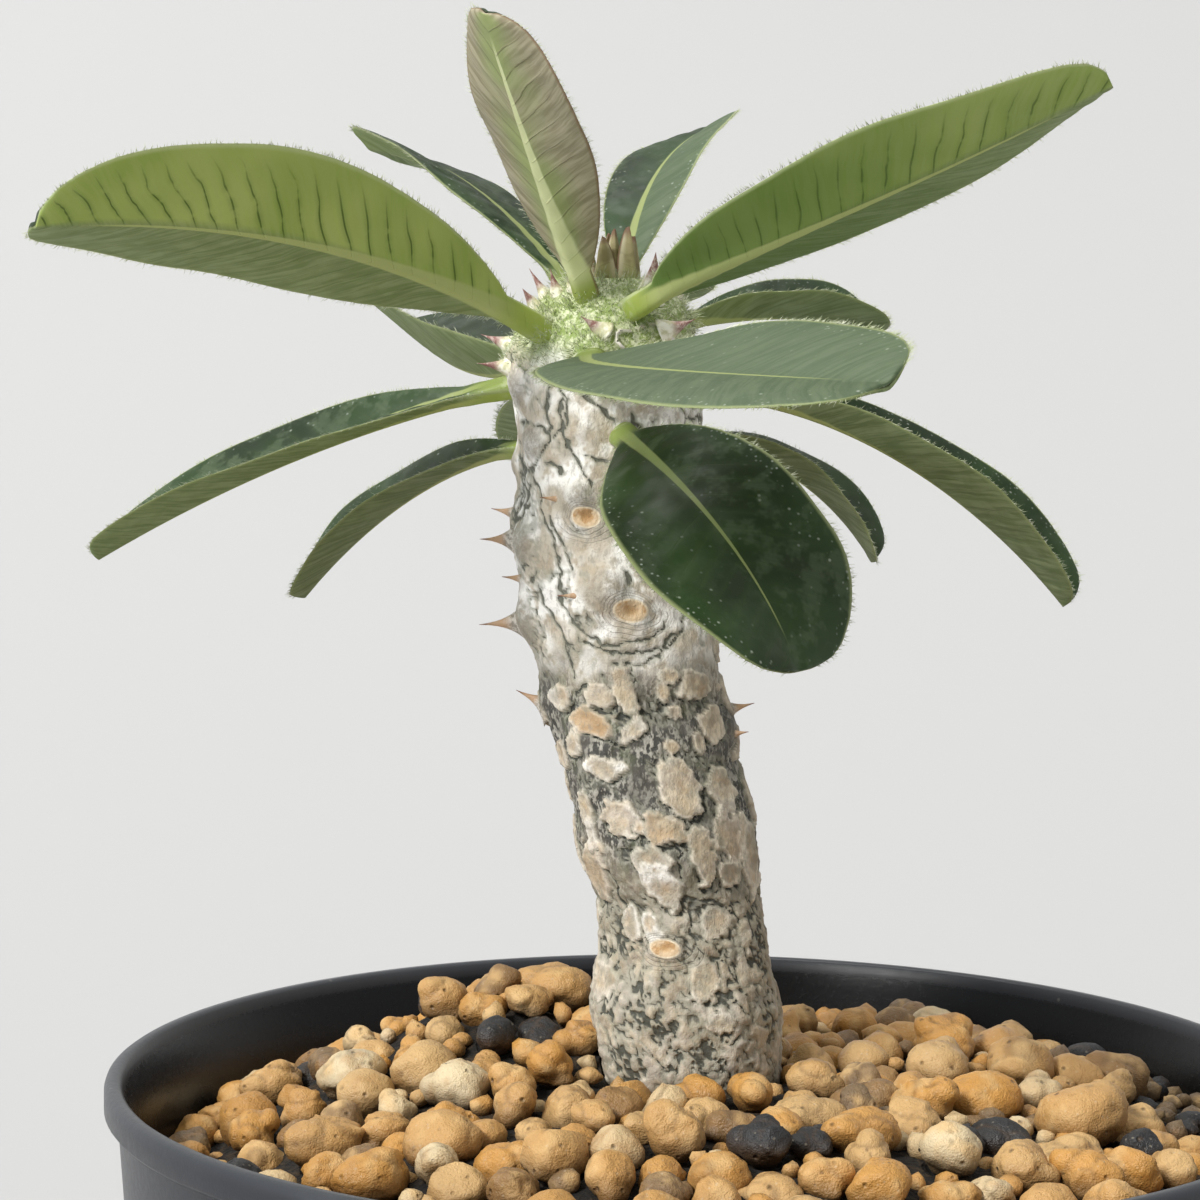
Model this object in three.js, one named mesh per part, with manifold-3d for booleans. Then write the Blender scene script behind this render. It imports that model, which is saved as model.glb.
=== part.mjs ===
// Potted tucky pachypodium: a spiny caudex crowned with leaves, in a 90 mm plastic nursery pot.
// Millimetres, Z up, the pot's flat underside on z = 0 and its axis on Z; -Y is the front.
import * as THREE from "three";
import { mergeVertices } from "three/addons/utils/BufferGeometryUtils.js";
import Module from "manifold-3d";

const wasm = await Module();
wasm.setup();

const DEG = Math.PI / 180;
const GAP = 0.3;

// Pot: moulded plastic, open at the top, with drain holes near the foot's edge.
const POT_HEIGHT = 80;
const POT_RIM_RADIUS = 45;
const POT_FOOT_RADIUS = 38;
const POT_WALL = 1.2;
const POT_FLOOR = 1.8;
const LIP_HEIGHT = 2.4;
const LIP_OVERHANG = 0.8;
const DRAIN_COUNT = 8;
const DRAIN_RADIUS = 3.5;
const DRAIN_CIRCLE = 27;

// Caudex, from the tap root up to the crown: height, sideways lean of its axis, radius.
const CAUDEX = [
  [50, 0, 1.2],
  [56, 0, 3.2],
  [64, -0.3, 5.0],
  [72, -0.6, 6.1],
  [77.5, -0.7, 6.4],
  [81, -1.0, 7.0],
  [84.5, -1.3, 7.3],
  [88.5, -1.4, 6.4],
  [92.5, -1.9, 6.2],
  [96, -2.9, 6.9],
  [100, -3.6, 6.9],
  [103.5, -4.7, 6.7],
  [107, -5.4, 6.6],
  [111, -6.0, 6.8],
  [115.5, -6.5, 6.9],
  [120, -7.2, 6.8],
  [125, -7.6, 6.9],
  [130, -7.8, 7.1],
  [134, -7.9, 6.7],
  [136.8, -7.8, 5.8],
  [138.3, -7.6, 4.6],
  [139.4, -7.4, 2.9],
];
const CAUDEX_SIDES = 28;

// Spines on their tubercles: height, azimuth, tubercle swell, spine length, upward tilt.
const SPINES = [
  [137.9, 180, 0.3, 2.4, 58],
  [138.0, -143, 0.3, 1.7, 66],
  [134.4, 177, 0.8, 2.4, 20],
  [132.8, 190, 0.7, 2.2, 5],
  [135.1, -90, 0.5, 1.8, 30],
  [135.2, -50, 0.8, 2.3, 22],
  [138.2, -8, 0.3, 2.3, 50],
  [121.6, 168, 0.7, 2.0, 10],
  [119.8, 184, 0.8, 2.4, 0],
  [116.8, 192, 0.5, 1.4, 5],
  [113.6, 180, 0.9, 3.3, -5],
  [120.5, -98, 0.7, 1.0, 0],
  [115.5, -108, 0.9, 1.2, 0],
  [107.0, 183, 0.7, 2.2, 25],
  [106.9, -4, 0.5, 1.7, 15],
  [105.2, -12, 0.5, 1.0, 10],
  [123.5, 62, 0.7, 2.0, 10],
  [117.5, 95, 0.7, 2.3, 5],
  [111.5, 48, 0.8, 1.9, 10],
  [103.5, 112, 0.7, 1.7, 15],
];
const SPINE_RADIUS = 0.55;

// Leaves: name, then attachment height, azimuth, sideways swing, rise at the base, rise at the
// tip, bend power, length, width, roll at the base, roll at the tip, fold along the midrib.
const LEAVES = [
  ["leaf_left_high", 135.3, -137.6, -10.7, 24.5, -7.4, 0.94, 40.4, 19, 53.1, 18.6, 11.5],
  ["leaf_left_back", 138.6, 142.8, -3.7, 46.3, 7.8, 1.44, 26.9, 12.4, -12.9, 18.5, 3],
  ["leaf_crown_front", 137.9, -110.3, -6.2, 43.6, 53.8, 1.13, 24.1, 13.7, -3.4, -31, 9],
  ["leaf_crown_back", 138.3, 81.9, -26.6, 64.8, 16.2, 1.1, 25, 10.8, 2.8, -15.3, 9],
  ["leaf_right_high", 137, -70.2, 58, 8.7, 26.8, 1.44, 43.8, 15.1, -24.1, -8.5, 13.3],
  ["leaf_right_back", 136.6, 31.1, -6.8, 9.9, -20.9, 2.05, 18.1, 13.3, -13.4, 22.7, 27.5],
  ["leaf_front", 133.2, -96.7, 60, -5.2, -3.4, 1.0, 47.9, 17.4, 7.9, 25.2, 9.1],
  ["leaf_right_arching", 131.4, 13.1, -20.3, 9.4, -51.7, 0.63, 33.9, 13.8, 12.6, 8.3, 33.1],
  ["leaf_right_low", 127.8, 37.4, -19.8, 9.6, -59, 0.9, 20.8, 11.5, -2.9, 33.1, 21.3],
  ["leaf_front_low", 127.7, -80.2, 51.6, -7.5, -67.4, 1.3, 29.3, 19, 45.5, 6.9, 5.1],
  ["leaf_left_arching", 131.7, 165.4, 13.2, -9.1, -31.8, 0.83, 37.1, 12.7, -35.3, -6.3, 26.2],
  ["leaf_left_low", 127.1, 145, 9.2, 10.5, -47.5, 0.58, 27.1, 12.6, -21.1, -29.8, 24.7],
  ["leaf_left_mid", 133.6, 127.4, -4.6, -9.2, 32.4, 1.25, 25.5, 17.8, 18.2, 3, 28.1],
  ["leaf_back_high", 135.8, 84, -6, 24, -6, 1.2, 25, 12, 0, 0, 18],
  ["leaf_back_low", 127.8, 80, -10, 5, -48, 0.7, 26, 11.5, 0, 10, 22],
  ["leaf_back_mid", 130.8, 104, -4, 10, -30, 0.9, 28, 12, 0, 0, 22],
];
const LEAF_ROWS = 12;
const LEAF_SIDES = 8;
const PETIOLE_SHARE = 0.1;
const PETIOLE_RADIUS = 0.9;
const BLADE_HALF_THICKNESS = 0.3;
const MIDRIB_DEPTH = 0.5;
const LEAF_ROOT_DEPTH = 1.4;

// Folded young leaves of the bud: azimuth, rise, length, width.
const BUD_LEAVES = [
  [-112, 84, 4.2, 2.5],
  [-40, 87, 5.0, 2.2],
  [32, 84, 4.5, 2.3],
  [104, 86, 4.8, 2.2],
  [176, 82, 4.0, 2.3],
];
const BUD_HEIGHT = 138.4;
const BUD_CIRCLE = 1.75;

// Gravel: loose stones lying on the bed, named by number: x, y, radius, kind.
const STONES = [
  [-11.5, 9.5, 2.8, "tan"],
  [-21, 10, 2.4, "tan"],
  [-16, 1, 1.9, "dark"],
  [-18.1, -6.1, 2.6, "pale"],
  [-13.6, -10.4, 2.3, "tan"],
  [-11.5, -3.6, 1.9, "ochre"],
  [-26.8, 0.5, 2.9, "pale"],
  [-34.3, 7.4, 2.4, "tan"],
  [-33.6, -5.6, 2.2, "ochre"],
  [-27, -13.2, 2.8, "tan"],
  [-18.4, -17, 2.5, "tan"],
  [-22.6, -21.5, 2.4, "ochre"],
  [-10, -22.6, 2.3, "tan"],
  [-7.6, -15, 1.9, "tan"],
  [3.6, -9.2, 2.0, "ochre"],
  [8.1, 19.1, 2.0, "tan"],
  [19.5, 10.7, 2.6, "ochre"],
  [24.5, 3.2, 3.0, "tan"],
  [16.2, -10.2, 2.2, "ochre"],
  [27.4, -9.6, 3.4, "tan"],
  [16.8, -20.8, 2.3, "pale"],
  [11.6, -28, 2.4, "ochre"],
  [4.2, -22.4, 2.1, "dark"],
  [-1.8, -20.6, 2.5, "tan"],
  [30.9, -14.4, 1.6, "dark"],
  [26, -21, 2.3, "ochre"],
];
const BED_DROP = 0.9;

const finishes = {
  plastic: new THREE.MeshStandardMaterial({ color: 0x24272b, roughness: 0.35, metalness: 0 }),
  bark: new THREE.MeshStandardMaterial({ color: 0xb9b3a4, roughness: 0.85, metalness: 0 }),
  leaf: new THREE.MeshStandardMaterial({ color: 0x4f6b34, roughness: 0.45, metalness: 0 }),
  bud: new THREE.MeshStandardMaterial({ color: 0x8a7a4c, roughness: 0.7, metalness: 0 }),
  bed: new THREE.MeshStandardMaterial({ color: 0x8f6f42, roughness: 0.95, metalness: 0 }),
  tan: new THREE.MeshStandardMaterial({ color: 0xc19a62, roughness: 0.9, metalness: 0 }),
  ochre: new THREE.MeshStandardMaterial({ color: 0xd0a050, roughness: 0.85, metalness: 0 }),
  pale: new THREE.MeshStandardMaterial({ color: 0xddd2b4, roughness: 0.9, metalness: 0 }),
  dark: new THREE.MeshStandardMaterial({ color: 0x2f2f30, roughness: 0.9, metalness: 0 }),
};

const model = new THREE.Group();
model.name = "potted_tucky_pachypodium";

function solidOf(geometry) {
  const bare = geometry.clone();
  bare.deleteAttribute("normal");
  bare.deleteAttribute("uv");
  const welded = mergeVertices(bare, 1e-4);
  const triangles = [];
  const corners = welded.index.array;
  for (let i = 0; i < corners.length; i += 3) {
    const [a, b, c] = [corners[i], corners[i + 1], corners[i + 2]];
    if (a !== b && b !== c && c !== a) {
      triangles.push(a, b, c);
    }
  }
  return new wasm.Manifold(new wasm.Mesh({
    numProp: 3,
    vertProperties: new Float32Array(welded.attributes.position.array),
    triVerts: new Uint32Array(triangles),
  }));
}

function addSolid(name, solid, material) {
  const mesh = solid.getMesh();
  const geometry = new THREE.BufferGeometry();
  geometry.setAttribute("position", new THREE.BufferAttribute(mesh.vertProperties, 3));
  geometry.setIndex(new THREE.BufferAttribute(mesh.triVerts, 1));
  geometry.computeVertexNormals();
  const piece = new THREE.Mesh(geometry, material);
  piece.name = name;
  model.add(piece);
}

// Moves every vertex of a geometry to the place that the function returns for it.
function shaped(geometry, place) {
  const positions = geometry.attributes.position;
  const vertex = new THREE.Vector3();
  for (let i = 0; i < positions.count; i += 1) {
    vertex.fromBufferAttribute(positions, i);
    const moved = place(vertex);
    positions.setXYZ(i, moved.x, moved.y, moved.z);
  }
  return geometry;
}

function latheSolid(profile, sides) {
  const points = profile.map(([radius, height]) => new THREE.Vector2(radius, height));
  const turned = new THREE.LatheGeometry(points, sides);
  turned.rotateX(Math.PI / 2);
  return solidOf(turned);
}

// The wall's outer radius at a height, following the taper.
function potRadius(height) {
  return POT_FOOT_RADIUS + (POT_RIM_RADIUS - LIP_OVERHANG - POT_FOOT_RADIUS) * height / POT_HEIGHT;
}

function makePot() {
  const lipBase = POT_HEIGHT - LIP_HEIGHT;
  const outside = latheSolid([
    [0, 0],
    [potRadius(0) - 0.8, 0],
    [potRadius(1), 1],
    [potRadius(lipBase), lipBase],
    [POT_RIM_RADIUS, lipBase + 0.4],
    [POT_RIM_RADIUS, POT_HEIGHT - 0.4],
    [POT_RIM_RADIUS - 0.4, POT_HEIGHT],
    [0, POT_HEIGHT],
  ], 48);
  const inside = latheSolid([
    [0, POT_FLOOR],
    [potRadius(POT_FLOOR) - POT_WALL, POT_FLOOR],
    [potRadius(POT_HEIGHT + 1) - POT_WALL, POT_HEIGHT + 1],
    [0, POT_HEIGHT + 1],
  ], 48);
  let pot = outside.subtract(inside);
  for (let i = 0; i < DRAIN_COUNT; i += 1) {
    const angle = (i + 0.5) * 2 * Math.PI / DRAIN_COUNT;
    const hole = new THREE.CylinderGeometry(DRAIN_RADIUS, DRAIN_RADIUS, POT_FLOOR + 2, 14);
    hole.rotateX(Math.PI / 2);
    hole.translate(DRAIN_CIRCLE * Math.cos(angle), DRAIN_CIRCLE * Math.sin(angle), POT_FLOOR / 2);
    pot = pot.subtract(solidOf(hole));
  }
  return pot;
}

// One column of the caudex table at any height.
function caudexAt(height, column) {
  const last = CAUDEX.length - 1;
  let row = 0;
  while (row < last - 1 && CAUDEX[row + 1][0] < height) {
    row += 1;
  }
  const share = (height - CAUDEX[row][0]) / (CAUDEX[row + 1][0] - CAUDEX[row][0]);
  return THREE.MathUtils.lerp(
    CAUDEX[row][column],
    CAUDEX[row + 1][column],
    THREE.MathUtils.clamp(share, 0, 1),
  );
}

function caudexRadius(height, angle) {
  let radius = caudexAt(height, 2);
  radius *= 1 + 0.02 * Math.sin(3 * angle + height * 0.2) + 0.015 * Math.sin(5 * angle - height * 0.3);
  for (const [spineHeight, azimuth, swell] of SPINES) {
    const turn = Math.abs(Math.atan2(Math.sin(angle - azimuth * DEG), Math.cos(angle - azimuth * DEG)));
    const away = Math.hypot(height - spineHeight, turn * radius);
    radius += swell * Math.exp(-away * away / 5);
  }
  return radius;
}

function makeCaudex(growth) {
  const rows = CAUDEX.length - 1;
  const body = new THREE.CylinderGeometry(1, 1, 1, CAUDEX_SIDES, rows);
  shaped(body, (vertex) => {
    const row = Math.round((vertex.y + 0.5) * rows);
    const angle = Math.atan2(-vertex.z, vertex.x);
    const height = CAUDEX[row][0];
    const reach = Math.hypot(vertex.x, vertex.z) * (caudexRadius(height, angle) + growth);
    const lift = row === 0 ? -growth : (row === rows ? growth : 0);
    return new THREE.Vector3(
      CAUDEX[row][1] + reach * Math.cos(angle),
      reach * Math.sin(angle),
      height + lift,
    );
  });
  return solidOf(body);
}

function makeSpine(height, azimuth, length, tilt) {
  const sunk = 1.2;
  const cone = new THREE.ConeGeometry(SPINE_RADIUS + 0.1 * length, length + sunk, 6);
  cone.translate(0, (length + sunk) / 2 - sunk, 0);
  cone.rotateZ(-Math.PI / 2 + tilt * DEG);
  cone.rotateX(Math.PI / 2);
  const reach = caudexRadius(height, azimuth * DEG);
  cone.translate(reach, 0, 0);
  cone.rotateZ(azimuth * DEG);
  cone.translate(caudexAt(height, 1), 0, height);
  return solidOf(cone);
}

function bladeHalfWidth(share, width) {
  const petiole = PETIOLE_RADIUS * Math.pow(1 - share, 0.3);
  const along = (share - PETIOLE_SHARE) / (1 - PETIOLE_SHARE);
  if (along <= 0) {
    return petiole;
  }
  const swell = Math.pow(along, 0.85) * Math.pow(1 - along, 0.34);
  return Math.max(width / 2 * swell / 0.599, share < 0.5 ? petiole : 0.35);
}

// Leaf surface: the path bends from one rise to the other, and the blade rolls and folds with it.
function makeBlade(start, leaf) {
  const steps = LEAF_ROWS * 4;
  const frames = [];
  const point = start.clone();
  for (let i = 0; i <= steps; i += 1) {
    const share = i / steps;
    const azimuth = (leaf.azimuth + leaf.swing * share) * DEG;
    const rise = (leaf.rise + (leaf.fall - leaf.rise) * Math.pow(share, leaf.power)) * DEG;
    const roll = (leaf.roll + (leaf.tipRoll - leaf.roll) * share) * DEG;
    const along = new THREE.Vector3(
      Math.cos(rise) * Math.cos(azimuth),
      Math.cos(rise) * Math.sin(azimuth),
      Math.sin(rise),
    );
    const level = new THREE.Vector3(-Math.sin(azimuth), Math.cos(azimuth), 0);
    const across = level.clone().applyAxisAngle(along, roll);
    const upper = along.clone().cross(across);
    frames.push({ point: point.clone(), across, upper });
    point.addScaledVector(along, leaf.length / steps);
  }
  const blade = new THREE.CylinderGeometry(1, 1, 1, LEAF_SIDES, leaf.rows);
  shaped(blade, (vertex) => {
    const share = vertex.y + 0.5;
    const frame = frames[Math.round(share * steps)];
    const half = bladeHalfWidth(share, leaf.width);
    const thick = THREE.MathUtils.lerp(PETIOLE_RADIUS * 0.8, BLADE_HALF_THICKNESS, Math.min(share * 5, 1));
    const side = -vertex.x;
    const fold = Math.sin(leaf.fold * DEG) * half * Math.abs(side) * Math.min(share * 6, 1);
    const rib = vertex.z > 0.5 ? 0 : MIDRIB_DEPTH * (1 - share) * Math.exp(-side * side * 20);
    const height = vertex.z > 0 ? vertex.z * thick : vertex.z * (thick + rib);
    return frame.point.clone()
      .addScaledVector(frame.across, side * half * Math.cos(leaf.fold * DEG))
      .addScaledVector(frame.upper, height + fold);
  });
  return solidOf(blade);
}

function makeLeaf(row, caudexHollow) {
  const [, height, azimuth, swing, rise, fall, power, length, width, roll, tipRoll, fold] = row;
  const reach = caudexRadius(height, azimuth * DEG) - LEAF_ROOT_DEPTH;
  const start = new THREE.Vector3(
    caudexAt(height, 1) + reach * Math.cos(azimuth * DEG),
    reach * Math.sin(azimuth * DEG),
    height - LEAF_ROOT_DEPTH * Math.sin(rise * DEG),
  );
  const blade = makeBlade(start, {
    azimuth, swing, rise, fall, power, width, roll, tipRoll, fold,
    length: length + LEAF_ROOT_DEPTH,
    rows: LEAF_ROWS,
  });
  return blade.subtract(caudexHollow);
}

function makeBudLeaf([azimuth, rise, length, width], caudexHollow) {
  const start = new THREE.Vector3(
    caudexAt(BUD_HEIGHT, 1) + BUD_CIRCLE * Math.cos(azimuth * DEG),
    BUD_CIRCLE * Math.sin(azimuth * DEG),
    BUD_HEIGHT,
  );
  const blade = makeBlade(start, {
    azimuth, swing: 0, rise, fall: rise + 12, power: 1, length, width,
    roll: 0, tipRoll: 0, fold: 12, rows: 6,
  });
  return blade.subtract(caudexHollow);
}

// Height of the gravel's surface: banked up behind the caudex on the left, low at the wall.
function gravelHeight(x, y) {
  const wall = 6 * Math.pow(Math.hypot(x, y) / 43, 3);
  const bank = 5.5 * Math.exp(-((x + 16) ** 2 + (y - 11) ** 2) / 170);
  const front = Math.exp(-(x ** 2 + (y + 25) ** 2) / 300);
  return 79 - wall + bank + front + 0.04 * x;
}

function makeStone([x, y, radius], number, growth) {
  const stone = new THREE.IcosahedronGeometry(1, 1);
  const phase = number * 1.7;
  shaped(stone, (vertex) => {
    const lumps = 1 + 0.1 * Math.sin(3.1 * vertex.x + phase) + 0.1 * Math.sin(2.7 * vertex.y - phase * 2)
      + 0.08 * Math.sin(3.7 * vertex.z + phase * 3);
    return vertex.clone().multiplyScalar(lumps * radius + growth);
  });
  stone.scale(1.08, 0.96, 0.88);
  stone.rotateZ(phase);
  stone.translate(x, y, gravelHeight(x, y) + 0.15 * radius);
  return solidOf(stone);
}

function makeBed(caudexHollow) {
  const bottom = POT_FLOOR + GAP;
  const edge = potRadius(74) - POT_WALL - GAP;
  const rings = [0.2, 0.4, 0.6, 0.8, 0.93];
  const profile = [[0, bottom], [potRadius(bottom) - POT_WALL - GAP, bottom], [edge, 74]];
  for (const ring of rings.reverse()) {
    profile.push([edge * ring, 90]);
  }
  profile.push([0, 90]);
  const points = profile.map(([radius, height]) => new THREE.Vector2(radius, height));
  const turned = new THREE.LatheGeometry(points, 40);
  turned.rotateX(Math.PI / 2);
  shaped(turned, (vertex) => {
    if (vertex.z < bottom + 1) {
      return vertex;
    }
    const height = gravelHeight(vertex.x, vertex.y) - BED_DROP;
    const reach = Math.hypot(vertex.x, vertex.y);
    const limit = potRadius(height) - POT_WALL - GAP;
    const pull = reach > edge - 0.01 ? limit / reach : 1;
    const grain = reach > edge - 0.01 ? 0 : 0.35 * Math.sin(vertex.x * 1.3) * Math.cos(vertex.y * 1.1);
    return new THREE.Vector3(vertex.x * pull, vertex.y * pull, height + grain);
  });
  let bed = solidOf(turned).subtract(caudexHollow);
  STONES.forEach((stone, index) => {
    bed = bed.subtract(makeStone(stone, index + 1, GAP));
  });
  return bed;
}

const caudexHollow = makeCaudex(GAP);
let caudex = makeCaudex(0);
for (const [height, azimuth, , length, tilt] of SPINES) {
  caudex = caudex.add(makeSpine(height, azimuth, length, tilt));
}

addSolid("pot", makePot(), finishes.plastic);
addSolid("gravel_bed", makeBed(caudexHollow), finishes.bed);
STONES.forEach((stone, index) => {
  const name = `stone_${String(index + 1).padStart(2, "0")}`;
  addSolid(name, makeStone(stone, index + 1, 0).subtract(caudexHollow), finishes[stone[3]]);
});
addSolid("caudex", caudex, finishes.bark);
LEAVES.forEach((row) => addSolid(row[0], makeLeaf(row, caudexHollow), finishes.leaf));
BUD_LEAVES.forEach((row, index) => {
  addSolid(`bud_leaf_${index + 1}`, makeBudLeaf(row, caudexHollow), finishes.bud);
});

export default model;
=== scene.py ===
"""Potted tucky pachypodium: fissured caudex, spines, folded leaves, gravel and a nursery pot."""

import math
import random

import bmesh
import bpy
from mathutils import Matrix, Vector, noise


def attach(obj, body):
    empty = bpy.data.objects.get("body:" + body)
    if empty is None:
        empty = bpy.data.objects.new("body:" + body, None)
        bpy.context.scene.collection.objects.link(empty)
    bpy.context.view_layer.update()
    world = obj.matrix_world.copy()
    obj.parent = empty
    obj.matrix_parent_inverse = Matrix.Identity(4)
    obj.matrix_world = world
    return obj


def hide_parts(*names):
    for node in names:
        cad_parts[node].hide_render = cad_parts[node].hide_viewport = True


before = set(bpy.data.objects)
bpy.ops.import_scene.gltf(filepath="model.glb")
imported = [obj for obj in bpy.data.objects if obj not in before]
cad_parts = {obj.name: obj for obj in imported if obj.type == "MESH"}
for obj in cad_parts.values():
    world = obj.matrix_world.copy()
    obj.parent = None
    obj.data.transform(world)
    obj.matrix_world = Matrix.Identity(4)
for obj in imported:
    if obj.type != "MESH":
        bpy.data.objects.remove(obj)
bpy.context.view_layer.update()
# Without a seed the vector noise starts from the clock, and the bark differs from run to run.
noise.seed_set(7)

MM = 0.001

# ---- Measures shared with the solid model, in millimetres and degrees ----

POT_HEIGHT = 80.0
POT_RIM_RADIUS = 45.0
POT_FOOT_RADIUS = 38.0
POT_WALL = 1.2
POT_FLOOR = 1.8
LIP_HEIGHT = 2.4
LIP_OVERHANG = 0.8
DRAIN_COUNT = 8
DRAIN_RADIUS = 3.5
DRAIN_CIRCLE = 27.0

# Height, sideways lean of the axis, radius.
CAUDEX = (
    (50, 0, 1.2), (56, 0, 3.2), (64, -0.3, 5.0), (72, -0.6, 6.1), (77.5, -0.7, 6.4),
    (81, -1.0, 7.0), (84.5, -1.3, 7.3), (88.5, -1.4, 6.4), (92.5, -1.9, 6.2),
    (96, -2.9, 6.9), (100, -3.6, 6.9), (103.5, -4.7, 6.7), (107, -5.4, 6.6),
    (111, -6.0, 6.8), (115.5, -6.5, 6.9), (120, -7.2, 6.8), (125, -7.6, 6.9),
    (130, -7.8, 7.1), (134, -7.9, 6.7), (136.8, -7.8, 5.8), (138.3, -7.6, 4.6),
    (139.4, -7.4, 2.9),
)

CAUDEX_FOOT, CAUDEX_TOP = 50, 139.4
MEAN_STEM_RADIUS = 6.8
# Where the bark gets its fine rows, just under the gravel, and where spines begin to be felted.
BARK_FOOT = 72
FELT_HEIGHT = 131

# Height, azimuth, swell of the tubercle, spine length, tilt, radius of the spine's foot.
SPINES = (
    (137.9, 180, 0.3, 2.4, 58, 0.8),
    (138.0, -143, 0.3, 1.7, 66, 0.7),
    (134.4, 177, 0.8, 2.4, 20, 1.1),
    (132.8, 190, 0.7, 2.2, 5, 0.9),
    (135.1, -90, 0.5, 1.8, 30, 1.0),
    (135.2, -50, 0.8, 2.3, 22, 1.3),
    (138.2, -8, 0.3, 2.3, 50, 0.9),
    (121.6, 168, 0.7, 2.0, 10, 0.6),
    (119.8, 184, 0.8, 2.4, 0, 0.8),
    (116.8, 192, 0.5, 1.4, 5, 0.4),
    (113.6, 180, 0.9, 3.3, -5, 0.9),
    (122.8, -114, 0.5, 1.6, 5, 0.7),
    (115.8, -107, 0.5, 1.8, 0, 0.8),
    (107.0, 183, 0.7, 2.2, 25, 0.6),
    (106.9, -4, 0.5, 1.7, 15, 0.5),
    (105.2, -12, 0.5, 1.0, 10, 0.4),
    (123.5, 62, 0.7, 2.0, 10, 0.6),
    (117.5, 95, 0.7, 2.3, 5, 0.7),
    (111.5, 48, 0.8, 1.9, 10, 0.6),
    (103.5, 112, 0.7, 1.7, 15, 0.6),
)

# Name, attachment height, azimuth, swing, rise at the base, rise at the tip, bend power, length,
# width, roll at the base, roll at the tip, fold.
LEAVES = (
    ("leaf_left_high", 135.3, -137.6, -10.7, 24.5, -7.4, 0.94, 40.4, 19, 53.1, 18.6, 11.5),
    ("leaf_left_back", 138.6, 142.8, -3.7, 46.3, 7.8, 1.44, 26.9, 12.4, -12.9, 18.5, 3),
    ("leaf_crown_front", 137.9, -110.3, -6.2, 43.6, 53.8, 1.13, 24.1, 13.7, -3.4, -31, 9),
    ("leaf_crown_back", 138.3, 81.9, -26.6, 64.8, 16.2, 1.1, 25, 10.8, 2.8, -15.3, 9),
    ("leaf_right_high", 137, -70.2, 58, 8.7, 26.8, 1.44, 43.8, 15.1, -24.1, -8.5, 13.3),
    ("leaf_right_back", 136.6, 31.1, -6.8, 9.9, -20.9, 2.05, 18.1, 13.3, -13.4, 22.7, 27.5),
    ("leaf_front", 133.2, -96.7, 60, -5.2, -3.4, 1.0, 47.9, 17.4, 7.9, 25.2, 9.1),
    ("leaf_right_arching", 131.4, 13.1, -20.3, 9.4, -51.7, 0.63, 33.9, 13.8, 12.6, 8.3, 33.1),
    ("leaf_right_low", 127.8, 37.4, -19.8, 9.6, -59, 0.9, 20.8, 11.5, -2.9, 33.1, 21.3),
    ("leaf_front_low", 127.7, -80.2, 51.6, -7.5, -67.4, 1.3, 29.3, 19, 45.5, 6.9, 5.1),
    ("leaf_left_arching", 131.7, 165.4, 13.2, -9.1, -31.8, 0.83, 37.1, 12.7, -35.3, -6.3, 26.2),
    ("leaf_left_low", 127.1, 145, 9.2, 10.5, -47.5, 0.58, 27.1, 12.6, -21.1, -29.8, 24.7),
    ("leaf_left_mid", 133.6, 127.4, -4.6, -9.2, 32.4, 1.25, 25.5, 17.8, 18.2, 3, 28.1),
    ("leaf_back_high", 135.8, 84, -6, 24, -6, 1.2, 25, 12, 0, 0, 18),
    ("leaf_back_low", 127.8, 80, -10, 5, -48, 0.7, 26, 11.5, 0, 10, 22),
    ("leaf_back_mid", 130.8, 104, -4, 10, -30, 0.9, 28, 12, 0, 0, 22),
)
# How far a leaf glows with light from behind, is flushed purple, has a grey bloom on its face, in
# part a painted reflection, and is shaded at its foot; then the side that carries the bloom, 0 for
# both.
LEAF_TONES = {
    "leaf_left_high": (1.0, 0.0, 0.0, 0.0, 0),
    "leaf_left_back": (0.3, 0.0, 0.35, 0.0, 0),
    "leaf_crown_front": (0.3, 1.0, 0.0, 0.0, 0),
    "leaf_crown_back": (0.3, 0.0, 1.0, 0.0, -1),
    "leaf_right_high": (0.85, 0.0, 0.0, 0.95, 0),
    "leaf_front": (0.1, 0.0, 1.0, 0.0, 0),
    "leaf_front_low": (0.1, 0.0, 0.45, 0.0, 1),
    "leaf_left_arching": (0.4, 0.0, 0.5, 0.0, 0),
    "leaf_left_low": (0.0, 0.0, 0.15, 0.25, 0),
    "leaf_right_low": (0.0, 0.0, 0.0, 0.2, 0),
}
PLAIN_LEAF = (0.15, 0.0, 0.1, 0.0, 0)
PETIOLE_SHARE = 0.1
PETIOLE_RADIUS = 1.1
BLADE_HALF_THICKNESS = 0.3
MIDRIB_DEPTH = 0.5
LEAF_ROOT_DEPTH = 1.4

# Azimuth, rise, length, width of the bud's young leaves.
BUD_LEAVES = (
    (-112, 84, 4.2, 2.5), (-40, 87, 5.0, 2.2), (32, 84, 4.5, 2.3), (104, 86, 4.8, 2.2),
    (176, 82, 4.0, 2.3),
)
BUD_HEIGHT = 138.4
BUD_CIRCLE = 1.75

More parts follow.
